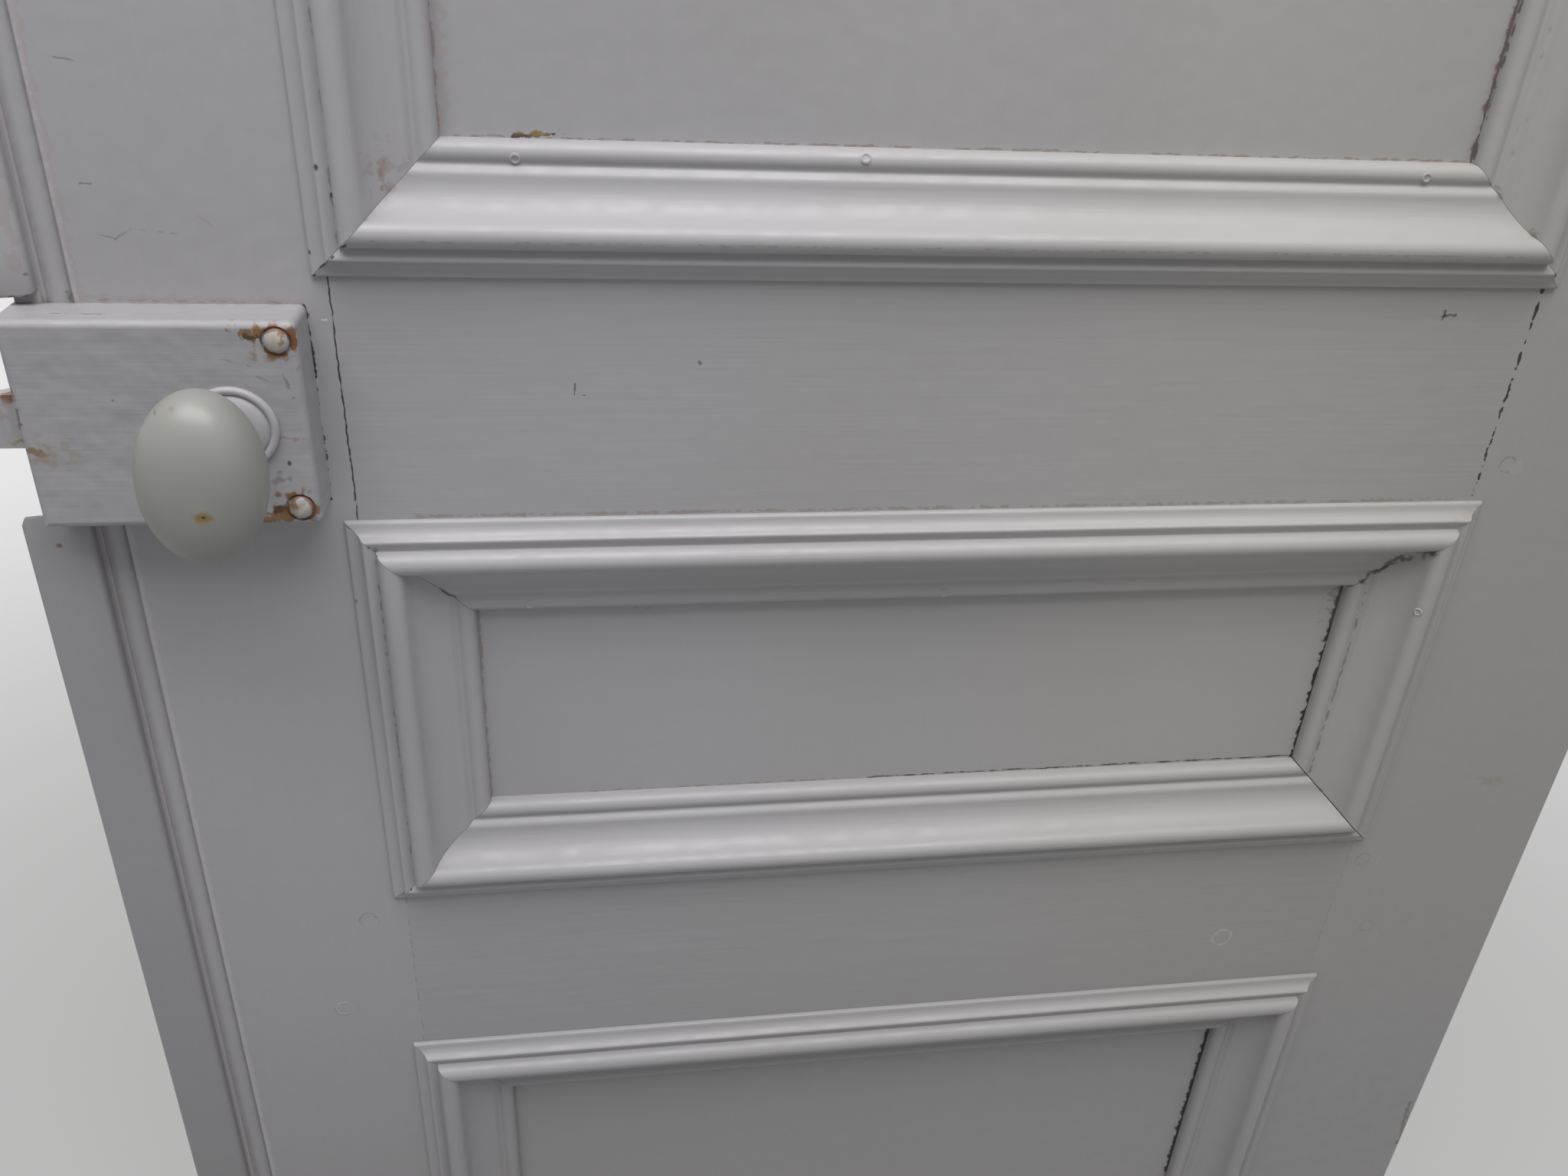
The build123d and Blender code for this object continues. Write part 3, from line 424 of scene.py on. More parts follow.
left_joint_marks = on_face(face, [
    (line, (joint_left, 945), (joint_left, 1056), 0.85, 0.5, soot, 0.92),
    (line, (joint_left, 609), (joint_left, 721), 0.45, 1.8, grey, 0.5),
])
right_joint_marks = on_face(face, [
    (line, (joint_right, 948), (joint_right, 1056), 0.95, 3, soot, 0.95),
    (line, (joint_right, 609), (joint_right, 721), 0.40, 2.2, grey, 0.35),
])
lock_stile_marks = left_joint_marks + on_face(face, [
    (line, (-286.9, 1044), (-286, 1012), 1.3, 1.8, soot, 0.95),
    (line, (-286.6, 1008), (-286.8, 956), 1, 2.8, soot, 0.9),
    (line, (-378, 1046.2), (-287.5, 1045), 3, 1.2, pink, 0.45),
    (line, (-372, 1045.4), (-290, 1044.6), 0.5, 2.4, tan, 0.6),
    (spot, (-376.1, 1047), (2.2, 2, 2.4), 1.4, deep_rust, 0.9),
    # painted highlight: pale lines along the bead's two quirks lighten the shade in the grooves
    *((line, (x, face + 1, low), (x, face + 1, high), width, 0.3, quirk_highlight, strength)
      for x, width, strength in ((-374.8, 5, 0.3), (-386.8, 6, 0.6))
      for low, high in ((1046, 2032), (0, 954))),
    (line, (-372.8, 1046), (-373.4, 1300), 3, 2.4, pink, 0.35),
    (line, (-363, 1136.1), (-356.4, 1134.9), 0.6, 1.6, grey, 0.5),
    (line, (-363.6, 1090.9), (-359, 1090.6), 0.8, 1.4, grey, 0.6),
    (line, (-361.1, 1071.3), (-354.8, 1069.9), 0.5, 1.8, grey, 0.4),
    (line, (-354.8, 1069.9), (-347.9, 1073.8), 0.5, 1.8, grey, 0.4),
    (line, (-347.9, 1073.8), (-330.7, 1072.2), 0.5, 2.2, grey, 0.3),
    (line, (-321.9, 1079.3), (-317.3, 1074.9), 0.5, 1.8, pink, 0.7),
    (spot, (-279.2, 1037.4), (1.6, 1, 0.7), 0.8, white, 0.9),
    (ring, (-297.2, 705.5), 4.5, 0.9, 1.2, grey, 0.35),
    (ring, (-317.5, 639.7), 4.5, 0.9, 1.2, grey, 0.3),
    (ring, (-317, 640.5), 4.5, 0.7, 1.8, white, 0.45),
])
hinge_stile_marks = right_joint_marks + on_face(face, [
    (ring, (278.7, 938.8), 3.4, 0.9, 2, grey, 0.3),
    (ring, (290.3, 965), 4.3, 0.8, 2, grey, 0.4),
    (ring, (287.1, 704), 4.3, 0.8, 1.6, grey, 0.3),
    (ring, (306.3, 647.7), 4.3, 0.8, 1.6, grey, 0.25),
    (spot, (352.5, 759.5), (10, 3, 3), 2.2, tan, 0.35),
    (line, (392, 470), (397, 425), 3, 2.6, grime, 0.6),
])
lock_rail_marks = left_joint_marks[:1] + right_joint_marks[:1] + on_face(face, [
    (line, (-177.6, 1009.2), (-177.9, 1004.4), 0.9, 1, grey, 0.9),
    (line, (-177.9, 1004.8), (-173.6, 1003.9), 0.7, 1.2, grey, 0.85),
    (line, (228.2, 1041.8), (234.6, 1042.8), 1.5, 0.9, soot, 0.7),
    (line, (229.4, 1044.2), (228.6, 1040.6), 1.4, 0.9, soot, 0.7),
    (spot, (-123.2, 1018.9), (1, 1, 1.2), 0.8, grey, 0.85),
    (line, (-250, 946.4), (268, 946.2), 1, 3.2, tan, 0.5),
])
middle_rail_marks = left_joint_marks[1:] + right_joint_marks[1:] + on_face(face, [
    (ring, (208.7, 646.7), 6, 1.2, 1.6, white, 0.3),
    (line, (-120, 606.5), (130, 607.5), 1.4, 3.4, tan, 0.35),
])
top_panel_marks = on_face(panel_face, [
    (line, (sight_right, 1107), (sight_right - 0.2, 1180), 3, 1.6, soot, 0.97),
    (line, (sight_right, 1180), (sight_right, 1870), 2, 2, soot, 0.95),
    (line, (sight_right - 1, 1110), (sight_right - 1.6, 1220), 4.6, 2, pink, 0.4),
    (line, (sight_left, 1108), (sight_left + 0.4, 1868), 1.4, 2.6, tan, 0.75),
    (line, (sight_left + 2, 1116), (sight_left + 3, 1320), 5, 2.2, pink, 0.3),
    (line, (sight_left + 6, 1110), (sight_right, 1110), 0.5, 4, tan, 0.7),
    (line, (-200, 1110.2), (-183, 1111.4), 1.6, 2, deep_rust, 0.85),
    (spot, (-189.5, 1111.6), (7, 2, 1.4), 1.6, ochre, 0.9),
])
middle_panel_marks = on_face(panel_face, [
    (line, (sight_right, 772), (sight_right - 0.2, 894), 2.9, 2.4, soot, 0.95),
    (spot, (228, 884), (6, 4, 16), 2.4, grime, 0.45),
    (line, (sight_left, 774), (sight_left + 0.4, 892), 1.2, 3, tan, 0.55),
    (line, (-25, 775.2), (226, 776), 0.8, 1.6, deep_rust, 0.85),
    (line, (-180, 775), (-40, 775.2), 0.6, 3, ochre, 0.5),
    (spot, (-150, 888), (9, 2, 1), 1.8, tan, 0.35),
])
bottom_panel_marks = on_face(panel_face, [
    (line, (sight_right - 0.3, 250), (sight_right - 0.5, 560), 4.2, 1.6, soot, 0.97),
    (line, (sight_left, 400), (sight_left + 0.4, 556), 1, 3, tan, 0.4),
])
print("marks on the stiles:", len(lock_stile_marks) + len(hinge_stile_marks))

# %% Paint the stiles, rails and panels
board_looks = [
    ("lock_stile", UPRIGHT, lock_stile_marks, 0.98, 0.03, 0.00003),
    ("hinge_stile", UPRIGHT, hinge_stile_marks, 0.96, 0.03, 0.00003),
    ("lock_rail", LEVEL, lock_rail_marks, 0.96, 0.08, 0.00005),
    ("middle_rail", LEVEL, middle_rail_marks, 0.96, 0.08, 0.00005),
    ("top_panel", UPRIGHT, top_panel_marks, 0.97, 0.02, 0.00003),
    ("middle_panel", UPRIGHT, middle_panel_marks, 1.0, 0.02, 0.00003),
    ("bottom_panel", UPRIGHT, bottom_panel_marks, 1.0, 0.02, 0.00003),
]
for board, stroke, marks, shade, dirt, stroke_depth in board_looks:
    dress([board], brushed_paint(board + "_paint", stroke, marks, shade, dirt, stroke_depth=stroke_depth))
dress(["top_rail", "bottom_rail"], brushed_paint("plain_level_paint", LEVEL, dirt=0.05, stroke_depth=0.00005))
dress(["tenon_pegs"], brushed_paint("plain_upright_paint", UPRIGHT))
print("boards painted:", [board for board, *look in board_looks])

# %% [markdown]
# ## Cover strip and lock case
# The strip and the cast iron case have been painted with the wood, but iron rusts under its paint.
# The case's paint is lumpy and wrinkled, brown has run out from under both screws, and a thin rusty
# line follows the back edge of its top. The strip is stained brown where it is broken off above the
# lock.

# %% Paint the strip and the lock
strip_face = -27.5
strip_marks = on_face(strip_face, [
    (line, (-404, strip_face + 1, 1046), (-387.3, strip_face + 1, 1047.6), 2, 2.2, deep_rust, 0.9),
    (line, (-395, 1047.8), (-387.3, strip_face + 4, 1049.4), 1.6, 2.4, ochre, 0.7),
    (spot, (-388.6, 1056.8), (2, 2, 1.1), 1, grey, 0.7),
    (line, (-390.7, 1060), (-391.7, 1420), 4.5, 2.2, pink, 0.4),
    (line, (-404.9, 1120), (-404.9, 1500), 7, 2.4, pink, 0.25),
    (spot, (-401.4, 938), (1.2, 1.5, 0.9), 1, rust, 0.8),
    (line, (-387.2, face, 0), (-387.2, face, 954), 1.2, 1.6, tan, 0.45),
])
case_marks = on_face(case_face, [
    (ring, (-294.25, 1036), 6, 1.5, 2.4, rust, 0.85),
    (spot, (-294.8, 1035.5), (9.6, 4, 8.6), 1.4, orange, 0.75),
    (line, (-310, 1039.8), (-300, 1038.2), 5, 2.4, orange, 0.85),
    (line, (-306, 1037.6), (-299, 1037.2), 1.6, 2.6, deep_rust, 0.75),
    (line, (-288.4, 1035), (-287, 1039.4), 4.6, 1.8, rust, 0.75),
    (ring, (-294.25, 963), 6, 1.4, 2.4, rust, 0.85),
    (spot, (-296, 963.5), (9.6, 4, 7.6), 1.6, orange, 0.65),
    (line, (-309, 956.8), (-300.5, 961.5), 5.8, 2.2, orange, 0.85),
    (line, (-305, 961.5), (-300, 964.8), 2, 2.6, deep_rust, 0.75),
    (spot, (-298, 969.4), (6, 3, 1.4), 2.4, rust, 0.6),
    (spot, (-289.5, 957.4), (4, 4, 2), 2.2, rust, 0.5),
    (spot, (-300.7, 976.3), (3.2, 2, 1.4), 2.2, grey, 0.5),
    (spot, (-299.8, 980.4), (1.6, 2, 1), 2.2, grey, 0.45),
    (spot, (-296.1, 983.6), (0.8, 1, 1), 1, soot, 0.8),
    (line, (-298, 994.6), (-289, 994.2), 1.6, 2.6, tan, 0.6),
    (spot, (-303, 992.5), (2.2, 3, 3.4), 1.8, rust, 0.65),
    (line, (-293.4, 1022), (-290.6, 1012.5), 1.1, 3.4, grey, 0.45),
    (line, (-306.5, 1026), (-299, 1024.2), 0.6, 3, grey, 0.4),
    (line, (-303.5, 1021), (-297, 1018.4), 0.6, 3, grey, 0.35),
    (line, (-309, 1017.4), (-303.5, 1015.6), 0.5, 3, grey, 0.3),
    (line, (-318, 1028.6), (-310, 1027.4), 0.5, 3, grey, 0.3),
    (spot, (-394.6, 989.8), (6, 5, 1.8), 2.2, rust, 0.65),
    (spot, (-391, 989.6), (10, 5, 4.5), 2.4, ochre, 0.3),
    (spot, (-397.4, 1005.5), (1.4, 6, 7), 2.2, deep_rust, 0.7),
    (spot, (-360, 1011.5), (0.8, 1, 0.7), 1, grey, 0.8),
    (line, (-397, -22.6, 1044), (-290, -22.4, 1044), 1, 3, tan, 0.5),
    (line, (-385, -36, 1044), (-360, -37, 1044), 0.7, 3.4, deep_rust, 0.6),
])
upper_strip_paint = brushed_paint("upper_strip_paint", UPRIGHT, strip_marks, 1.05, 0.04)
lower_strip_paint = brushed_paint("lower_strip_paint", UPRIGHT, strip_marks[-2:], 0.80, 0.04)
dress(["lock_case"], brushed_paint("case_paint", LEVEL, case_marks, 0.88, lump=0.00080, stroke_depth=0.00010))
dress(["inside_rose"], brushed_paint("rose_paint", LEVEL, (), 1.02, lump=0.00030))
print("marks on the case:", len(case_marks), "and on the upper strip:", len(strip_marks))

# %% [markdown]
# ## The two cover strips
# A cover strip is a thin slip of wood nailed along the edge of a door to hide the gap. Paint has
# rounded its edges, and above the lock it is broken off. The CAD strips are plain and stand out
# twelve millimetres, more than twice what the photo shows, so thinner ones take their place: one
# outline is carried up the door in short steps, and each end is a ragged, round or square line.

# %% Cut the two cover strips
strip_low_x, strip_high_x = -415.25, -387.25
strip_middle_x = (strip_low_x + strip_high_x) / 2
paint_round, strip_stations = 2.4, 60
wave_height, wave_pitch = 0.35, Vector((0.06, 0.1, 0.02))
strip_outline = [(strip_high_x, face)]
for centre_x, first in ((strip_high_x - paint_round, 0), (strip_low_x + paint_round, 90)):
    for step in range(7):
        turn = math.radians(first + 15 * step)
        strip_outline.append((centre_x + paint_round * math.cos(turn),
                              strip_face + paint_round - paint_round * math.sin(turn)))
strip_outline.append((strip_low_x, face))


def height_at(corners, x):
    """Height of a broken edge at x, by its corners in millimetres."""
    for (start_x, start_z), (end_x, end_z) in zip(corners, corners[1:]):
        if x <= end_x:
            return start_z + (end_z - start_z) * (x - start_x) / (end_x - start_x)
    return corners[-1][1]


def cover_strip(node, low_end, high_end, paint):
    """A thin strip in the place of a CAD node; its ends are broken lines across its width."""
    ends = [(0.0, 0.90), (0.35, 0.95), (1.2, 1.0)]
    runs = [(0, lift, size) for lift, size in ends]
    runs += [(step / strip_stations, 0.0, 1.0) for step in range(1, strip_stations)]
    runs += [(1, -lift, size) for lift, size in reversed(ends)]
    form = bmesh.new()
    rings = []
    for share, lift, size in runs:
        rings.append([])
        for x, y in strip_outline:
            low_z, high_z = height_at(low_end, x), height_at(high_end, x)
            z = low_z + (high_z - low_z) * share + lift
            wave = wave_height * noise.noise(Vector((x, y, z)) * wave_pitch) * (y < face - 0.5)
            x = strip_middle_x + (x - strip_middle_x) * (0.5 + size / 2)
            rings[-1].append(form.verts.new(millimetres((x, face + (y - face) * size + wave, z))))
    for lower, upper in zip(rings, rings[1:]):
        for number in range(len(lower)):
            following = (number + 1) % len(lower)
            form.faces.new((lower[number], lower[following], upper[following], upper[number]))
    form.faces.new(rings[0])
    form.faces.new(rings[-1])
    piece = new_object(node + "_painted", smooth_mesh_of(node + "_painted", form, [paint], 40))
    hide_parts(node)
    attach(piece, "leaf")
    print(piece.name, "height, mm:", round(piece.dimensions.z / MM), "faces:", len(piece.data.polygons))


broken_end = [(strip_low_x, 1047.4), (-410.0, 1045.2), (-404.5, 1046.6), (-400.4, 1045.1), (-396.0, 1047.2),
              (-391.5, 1047.0), (strip_high_x, 1049.0)]
round_end = [(strip_low_x, 946.0), (-414.6, 948.8), (-412.9, 951.7), (-410.2, 953.4), (-407.25, 954.0),
             (strip_high_x, 954.0)]
foot, top = ([(strip_low_x, height), (strip_high_x, height)] for height in (0.0, 2032.0))
cover_strip("cover_strip_upper", broken_end, top, upper_strip_paint)
cover_strip("cover_strip_lower", foot, round_end, lower_strip_paint)

# %% [markdown]
# ## Metal
# The latch bolt and the hinges are painted too, and the bolt is worn and stained where it strikes.
# Bare metal is left in three places: oiled steel inside the lock, old brass round the outside knob,
# and screws that rust. Metal ages in patches, so each is a drift between its bright and its dark
# colour.

# %% Make the metals
def worn_metal(name, bright, dark, shine, size, metallic=1.0):
    """Metal that drifts between two colours in patches 1 / size metres across."""
    material, tree, shader, place = start_material(name)
    patches = cloud(tree, place, size, 4.0)
    grain = cloud(tree, place, 900.0, 2.0)
    share = ramp(tree, patches, 0.38, 0.64)
    colour = blend(tree, share, bright, dark)
    rough = maths(tree, "ADD", patches, maths(tree, "MULTIPLY", grain, 0.3))
    height = maths(tree, "ADD", maths(tree, "MULTIPLY", share, 0.00012),
                   maths(tree, "MULTIPLY", grain, 0.00005))
    finish_look(tree, shader, colour, ramp(tree, rough, 0.3, 0.9, *shine), height)
    shader.inputs["Metallic"].default_value = metallic
    return material


steel = worn_metal("oiled_steel", (0.30, 0.29, 0.28, 1.0), (0.16, 0.14, 0.12, 1.0), (0.30, 0.50), 120.0)
brass = worn_metal("aged_brass", (0.40, 0.28, 0.11, 1.0), (0.20, 0.13, 0.06, 1.0), (0.28, 0.48), 90.0)
rusty_screw = worn_metal("rusty_screw", (0.36, 0.335, 0.3, 1.0), (0.17, 0.06, 0.02, 1.0), (0.45, 0.8), 170.0,
                         metallic=0.0)
latch_marks = [
    spot((-399.5, -38, 1010), (5, 8, 2.6), 1.6, rust, 0.85),
    spot((-400, -38, 991), (4, 8, 2), 1.6, ochre, 0.8),
    spot((-399, -38, 1001), (1.4, 8, 8), 2, deep_rust, 0.7),
    spot((-405, -38, 1002), (4, 6, 4), 2.4, pink, 0.6),
]
latch_paint = brushed_paint("latch_paint", UPRIGHT, latch_marks, dirt=0.2, lump=0.0003)
hinge_paint = brushed_paint("hinge_paint", UPRIGHT, dirt=0.30, lump=0.0003)
hinge_flaps = [name for name in cad_nodes if "_flap_" in name]

dress(["latch_bolt"], latch_paint)
dress(hinge_flaps + ["hinge_pins", "outside_neck", "inside_neck"], hinge_paint)
dress(["lock_back_plate", "latch_spring", "follower", "dead_bolt", "dead_bolt_spring", "spindle"], steel)
dress(["outside_rose", "rose_screws"], brass)
dress(["lock_screws", "door_hinge_screws"], rusty_screw)
print("hinge flaps painted:", len(hinge_flaps))

# %% [markdown]
# ## Mouldings
# A joiner runs a bolection moulding as one long length with a shaped plane, cuts it at 45 degrees
# and nails four pieces round each panel. Here one Geometry Nodes tree does the same job: it carries
# a section along a straight line, cuts both ends to the mitre, leaves a hair of a gap there, and
# makes the surface wander a little, as wood under eight coats of paint does. Every side of every
# frame is that tree with another length and seed, so the rule is written once.

# %% Draw the section
def arc(centre, radius, first, sweep, count):
    """Points of a circular arc after its start, by angles in degrees."""
    turns = [math.radians(first + sweep * step / count) for step in range(1, count + 1)]
    return [(centre[0] + radius * math.cos(turn), centre[1] + radius * math.sin(turn)) for turn in turns]


# the visible line from the lip on the door's face to the panel, then the back; millimetres
lip = [(0.0, 0.0), (0.0, 2.5), (1.0, 2.5)]
hollow = arc((1.0, 9.28772), 6.78772, -90.0, 80.7787, 10) + [(13.5, 5.7)]
nose = arc((18.93699, 7.24725), 5.65287, -164.1148, -180.9935, 24)
cove = arc((40.39834, 12.95435), 16.55435, -165.1083, 75.1140, 24) + [(41.2, -3.6), (44.5, -6.9)]
bead = arc((48.45537, -10.06158), 5.06365, 141.3642, -146.3311, 14)
back = [(53.5, -13.0), (6.0, -13.0), (6.0, 0.0)]


def soften(points, spacing, passes):
    """The same line with points spacing apart and its corners rounded, as thick paint rounds them."""
    even = [points[0]]
    for start, end in zip(points, points[1:]):
        steps = max(1, round(math.dist(start, end) / spacing))
        even += [tuple(a + (b - a) * step / steps for a, b in zip(start, end))
                 for step in range(1, steps + 1)]
    for _ in range(passes):
        even = even[:1] + [tuple((a + 2 * b + c) / 4 for a, b, c in zip(*three))
                           for three in zip(even, even[1:], even[2:])] + even[-1:]
    return even


section = soften(lip + hollow + nose + cove + bead, 0.8, 3) + back
section_mesh = bpy.data.meshes.new("moulding_section")
section_mesh.from_pydata([(u * MM, h * MM, 0.0) for u, h in reversed(section)],
                         [(index, (index + 1) % len(section)) for index in range(len(section))], [])
print("section points:", len(section), "width, mm:", max(u for u, h in section))


# %% Write the tree that runs a length of moulding
def node_tree(name, *sockets):
    """A Geometry Nodes tree from geometry to geometry with these inputs and Paint; and its inputs."""
    tree = bpy.data.node_groups.new(name, "GeometryNodeTree")
    tree.interface.new_socket("Geometry", in_out="INPUT", socket_type="NodeSocketGeometry")
    for socket, kind in [*sockets, ("Paint", "NodeSocketMaterial")]:
        tree.interface.new_socket(socket, in_out="INPUT", socket_type=kind)
    tree.interface.new_socket("Geometry", in_out="OUTPUT", socket_type="NodeSocketGeometry")
    return tree, add_node(tree, "NodeGroupInput").outputs


def close_tree(tree, given, geometry):
    """Give what the tree made its paint and hand it out."""
    painted = add_node(tree, "GeometryNodeSetMaterial", {"Geometry": geometry, "Material": given["Paint"]})
    add_node(tree, "NodeGroupOutput", {"Geometry": painted})


tree, given = node_tree("moulding_run", ("Half Length", NUMBER), ("Low Gap", NUMBER), ("High Gap", NUMBER),
                        ("Stations", "NodeSocketInt"), ("Waviness", NUMBER), ("Seed", NUMBER))
section_curve = add_node(tree, "GeometryNodeMeshToCurve", {0: given["Geometry"]})
low_end = add_node(tree, "CombineXYZ", {2: maths(tree, "MULTIPLY", given["Half Length"], -1.0)})
high_end = add_node(tree, "CombineXYZ", {2: given["Half Length"]})
path = add_node(tree, "GeometryNodeCurvePrimitiveLine", {"Start": low_end, "End": high_end})
path = add_node(tree, "GeometryNodeResampleCurve", {"Curve": path, "Count": given["Stations"]})
swept = add_node(tree, "GeometryNodeCurveToMesh",
                 {"Curve": path, "Profile Curve": section_curve, "Fill Caps": True})
position = add_node(tree, "GeometryNodeInputPosition")
inward, height, along = add_node(tree, "SeparateXYZ", {0: position}).outputs
past_middle = maths(tree, "GREATER_THAN", along, 0.0)
mitre_gap = add_node(tree, "GeometryNodeSwitch", {0: past_middle, 1: given["Low Gap"], 2: given["High Gap"]},
                     input_type="FLOAT")
shortening = maths(tree, "DIVIDE", maths(tree, "ADD", inward, mitre_gap), given["Half Length"])
mitre = maths(tree, "MULTIPLY", along, maths(tree, "MULTIPLY", shortening, -1.0))
wander = add_node(tree, "TexNoise", {"Vector": position, "W": given["Seed"], "Scale": 26.0, "Detail": 2.0},
                  noise_dimensions="4D")
shown = maths(tree, "MULTIPLY", ramp(tree, inward, 0.0005, 0.003), ramp(tree, height, -0.0118, -0.009))
lift = maths(tree, "MULTIPLY", given["Waviness"], shown)
lift = maths(tree, "MULTIPLY", maths(tree, "SUBTRACT", wander, 0.5), lift)
shift = add_node(tree, "CombineXYZ", {1: lift, 2: mitre})
close_tree(tree, given, add_node(tree, "GeometryNodeSetPosition", {"Geometry": swept, "Offset": shift}))
run_tree = tree


def grown(host, tree, values):
    """The plain mesh that a tree of geometry nodes makes from a host mesh."""
    holder = new_object(tree.name, host)
    modifier = holder.modifiers.new(tree.name, "NODES")
    modifier.node_group = tree
    for item in tree.interface.items_tree:
        if item.item_type == "SOCKET" and item.in_out == "INPUT" and item.name in values:
            modifier[item.identifier] = values[item.name]
    graph = bpy.context.evaluated_depsgraph_get()
    made = bpy.data.meshes.new_from_object(holder.evaluated_get(graph), preserve_all_data_layers=True,
                                           depsgraph=graph)
    holder.modifiers.remove(modifier)
    bpy.data.objects.remove(holder)
    return made


print("nodes in the tree:", len(run_tree.nodes))

# %% Paint the mouldings
top_marks = [
    line((-268.8, -28, 1062), (-268.8, -28, 1400), 1.3, 2.4, grime, 0.5),
    line((-255, -34.8, 1073.4), (262, -34.8, 1073.4), 0.5, 3, grime, 0.35),
    line((-120, -34.8, 1071.6), (230, -34.8, 1071.6), 0.4, 3, grime, 0.3),
    line((-281.5, -24, 1056.3), (-264, -34, 1073.4), 1, 1.8, soot, 0.9),
    line((-263, -34, 1074), (-229, -14, 1109), 0.7, 2.8, tan, 0.8),
    spot((-250.5, -18, 1097), (8, 8, 9), 2.4, tan, 0.3),
    spot((-251.5, -17, 1093), (2.2, 5, 4.6), 2.4, rust, 0.45),
    spot((-251.8, -16, 1102), (2, 5, 2.2), 1.8, rust, 0.6),
    line((282, -24, 1056.3), (270, -32, 1068.5), 0.7, 2, grime, 0.9),
    line((268, -34, 1070), (229, -12, 1109), 0.7, 2.4, grime, 0.7),
    spot((-273.8, -29, 1100.6), (0.8, 3, 1.8), 1, soot, 0.85),
    spot((-269.2, -28, 1089.9), (0.8, 3, 1.2), 1, soot, 0.85),
    spot((-281.4, -24, 1066.1), (0.8, 3, 1.4), 1, soot, 0.85),
    line((-282.2, -22.4, 1062), (-282.2, -22.4, 1900), 0.9, 2.6, tan, 0.55),
    spot((-248.6, -14, 1104.8), (1.4, 3, 1.2), 1.2, deep_rust, 0.8),
    spot((126.8, -15, 1092.6), (0.9, 3, 1.4), 1, grime, 0.9),
    line((126.8, -15, 1091.4), (126.4, -18, 1086), 1.1, 1.2, tan, 0.6),
    line((198, -12, 1105.6), (216, -12, 1107.4), 1, 2.6, grime, 0.8),
    line((229.6, -10, 1112), (229.6, -10, 1200), 1.6, 2, olive, 0.75),
    line((241.2, -17, 1112), (241.2, -17, 1300), 1.4, 2, grime, 0.4),
    line((231, -12, 1107.5), (262, -32, 1076), 2.6, 2.2, grime, 0.55),
    ring((243, -16, 1131), 2.2, 1, 1.8, olive, 0.9),
]
middle_marks = [
    line((-260, -30, 923), (-229, -10, 892), 0.9, 2.6, grime, 0.8),
    line((-268.8, -28, 722), (-268.8, -28, 944), 1.3, 2.4, grime, 0.5),
    spot((-281, -24, 905), (1.2, 3, 1.6), 1.2, grey, 0.8),
    line((282, -24, 721.5), (246, -16, 759), 1.4, 1.8, soot, 0.95),
    line((-282, -24, 721.5), (-262, -34, 741), 0.7, 1.8, soot, 0.85),
    line((-281.8, -24, 944.4), (-262, -34, 925), 0.6, 1.8, soot, 0.8),
    line((228.8, -11.5, 891.5), (233.7, -17, 896.4), 3, 1.2, olive, 0.85),
    line((233.7, -17, 896.4), (241.9, -18.4, 904.6), 3.4, 1.2, olive, 0.85),
    line((241.9, -18.4, 904.6), (249.9, -23, 912.6), 4.4, 1.4, olive, 0.8),
    line((249.9, -23, 912.6), (257.9, -30.7, 920.6), 4.4, 1.4, olive, 0.8),
    line((238.2, -15.4, 764), (238.2, -15.4, 888), 1.3, 1, olive, 0.55),
    spot((246.8, -12, 759), (4, 6, 4), 2, olive, 0.7),
    spot((275.4, -26, 939), (7, 7, 5), 2.2, tan, 0.25),
    spot((5, -13, 895.4), (3, 3, 1.2), 1.8, ochre, 0.7),
]


def moulding_pair(stem, marks=()):
    """Paint for the level mouldings of a frame and for its upright ones."""
    return [brushed_paint(f"{stem}{way}_moulding_paint", stroke, marks, lump=0.00014, stroke_depth=0.00008)
            for way, stroke in (("level", LEVEL), ("upright", UPRIGHT))]


plain_moulding_paints = moulding_pair("")
moulding_paints = {"top_panel_inside": moulding_pair("top_", top_marks),
                   "middle_panel_inside": moulding_pair("middle_", middle_marks)}
print("moulding paints with marks:", sorted(moulding_paints))


# %% Nail a frame of mouldings round each panel
def joined(name, parts):
    """One object of several meshes with one material each; sharp only where the surface really turns."""
    form = bmesh.new()
    paints = []
    for mesh, paint in parts:
        before = len(form.faces)
        form.from_mesh(mesh)
        form.faces.ensure_lookup_table()
        if paint not in paints:
            paints.append(paint)
        for part_face in form.faces[before:]:
            part_face.material_index = paints.index(paint)
    return new_object(name, smooth_mesh_of(name, form, paints, 38))


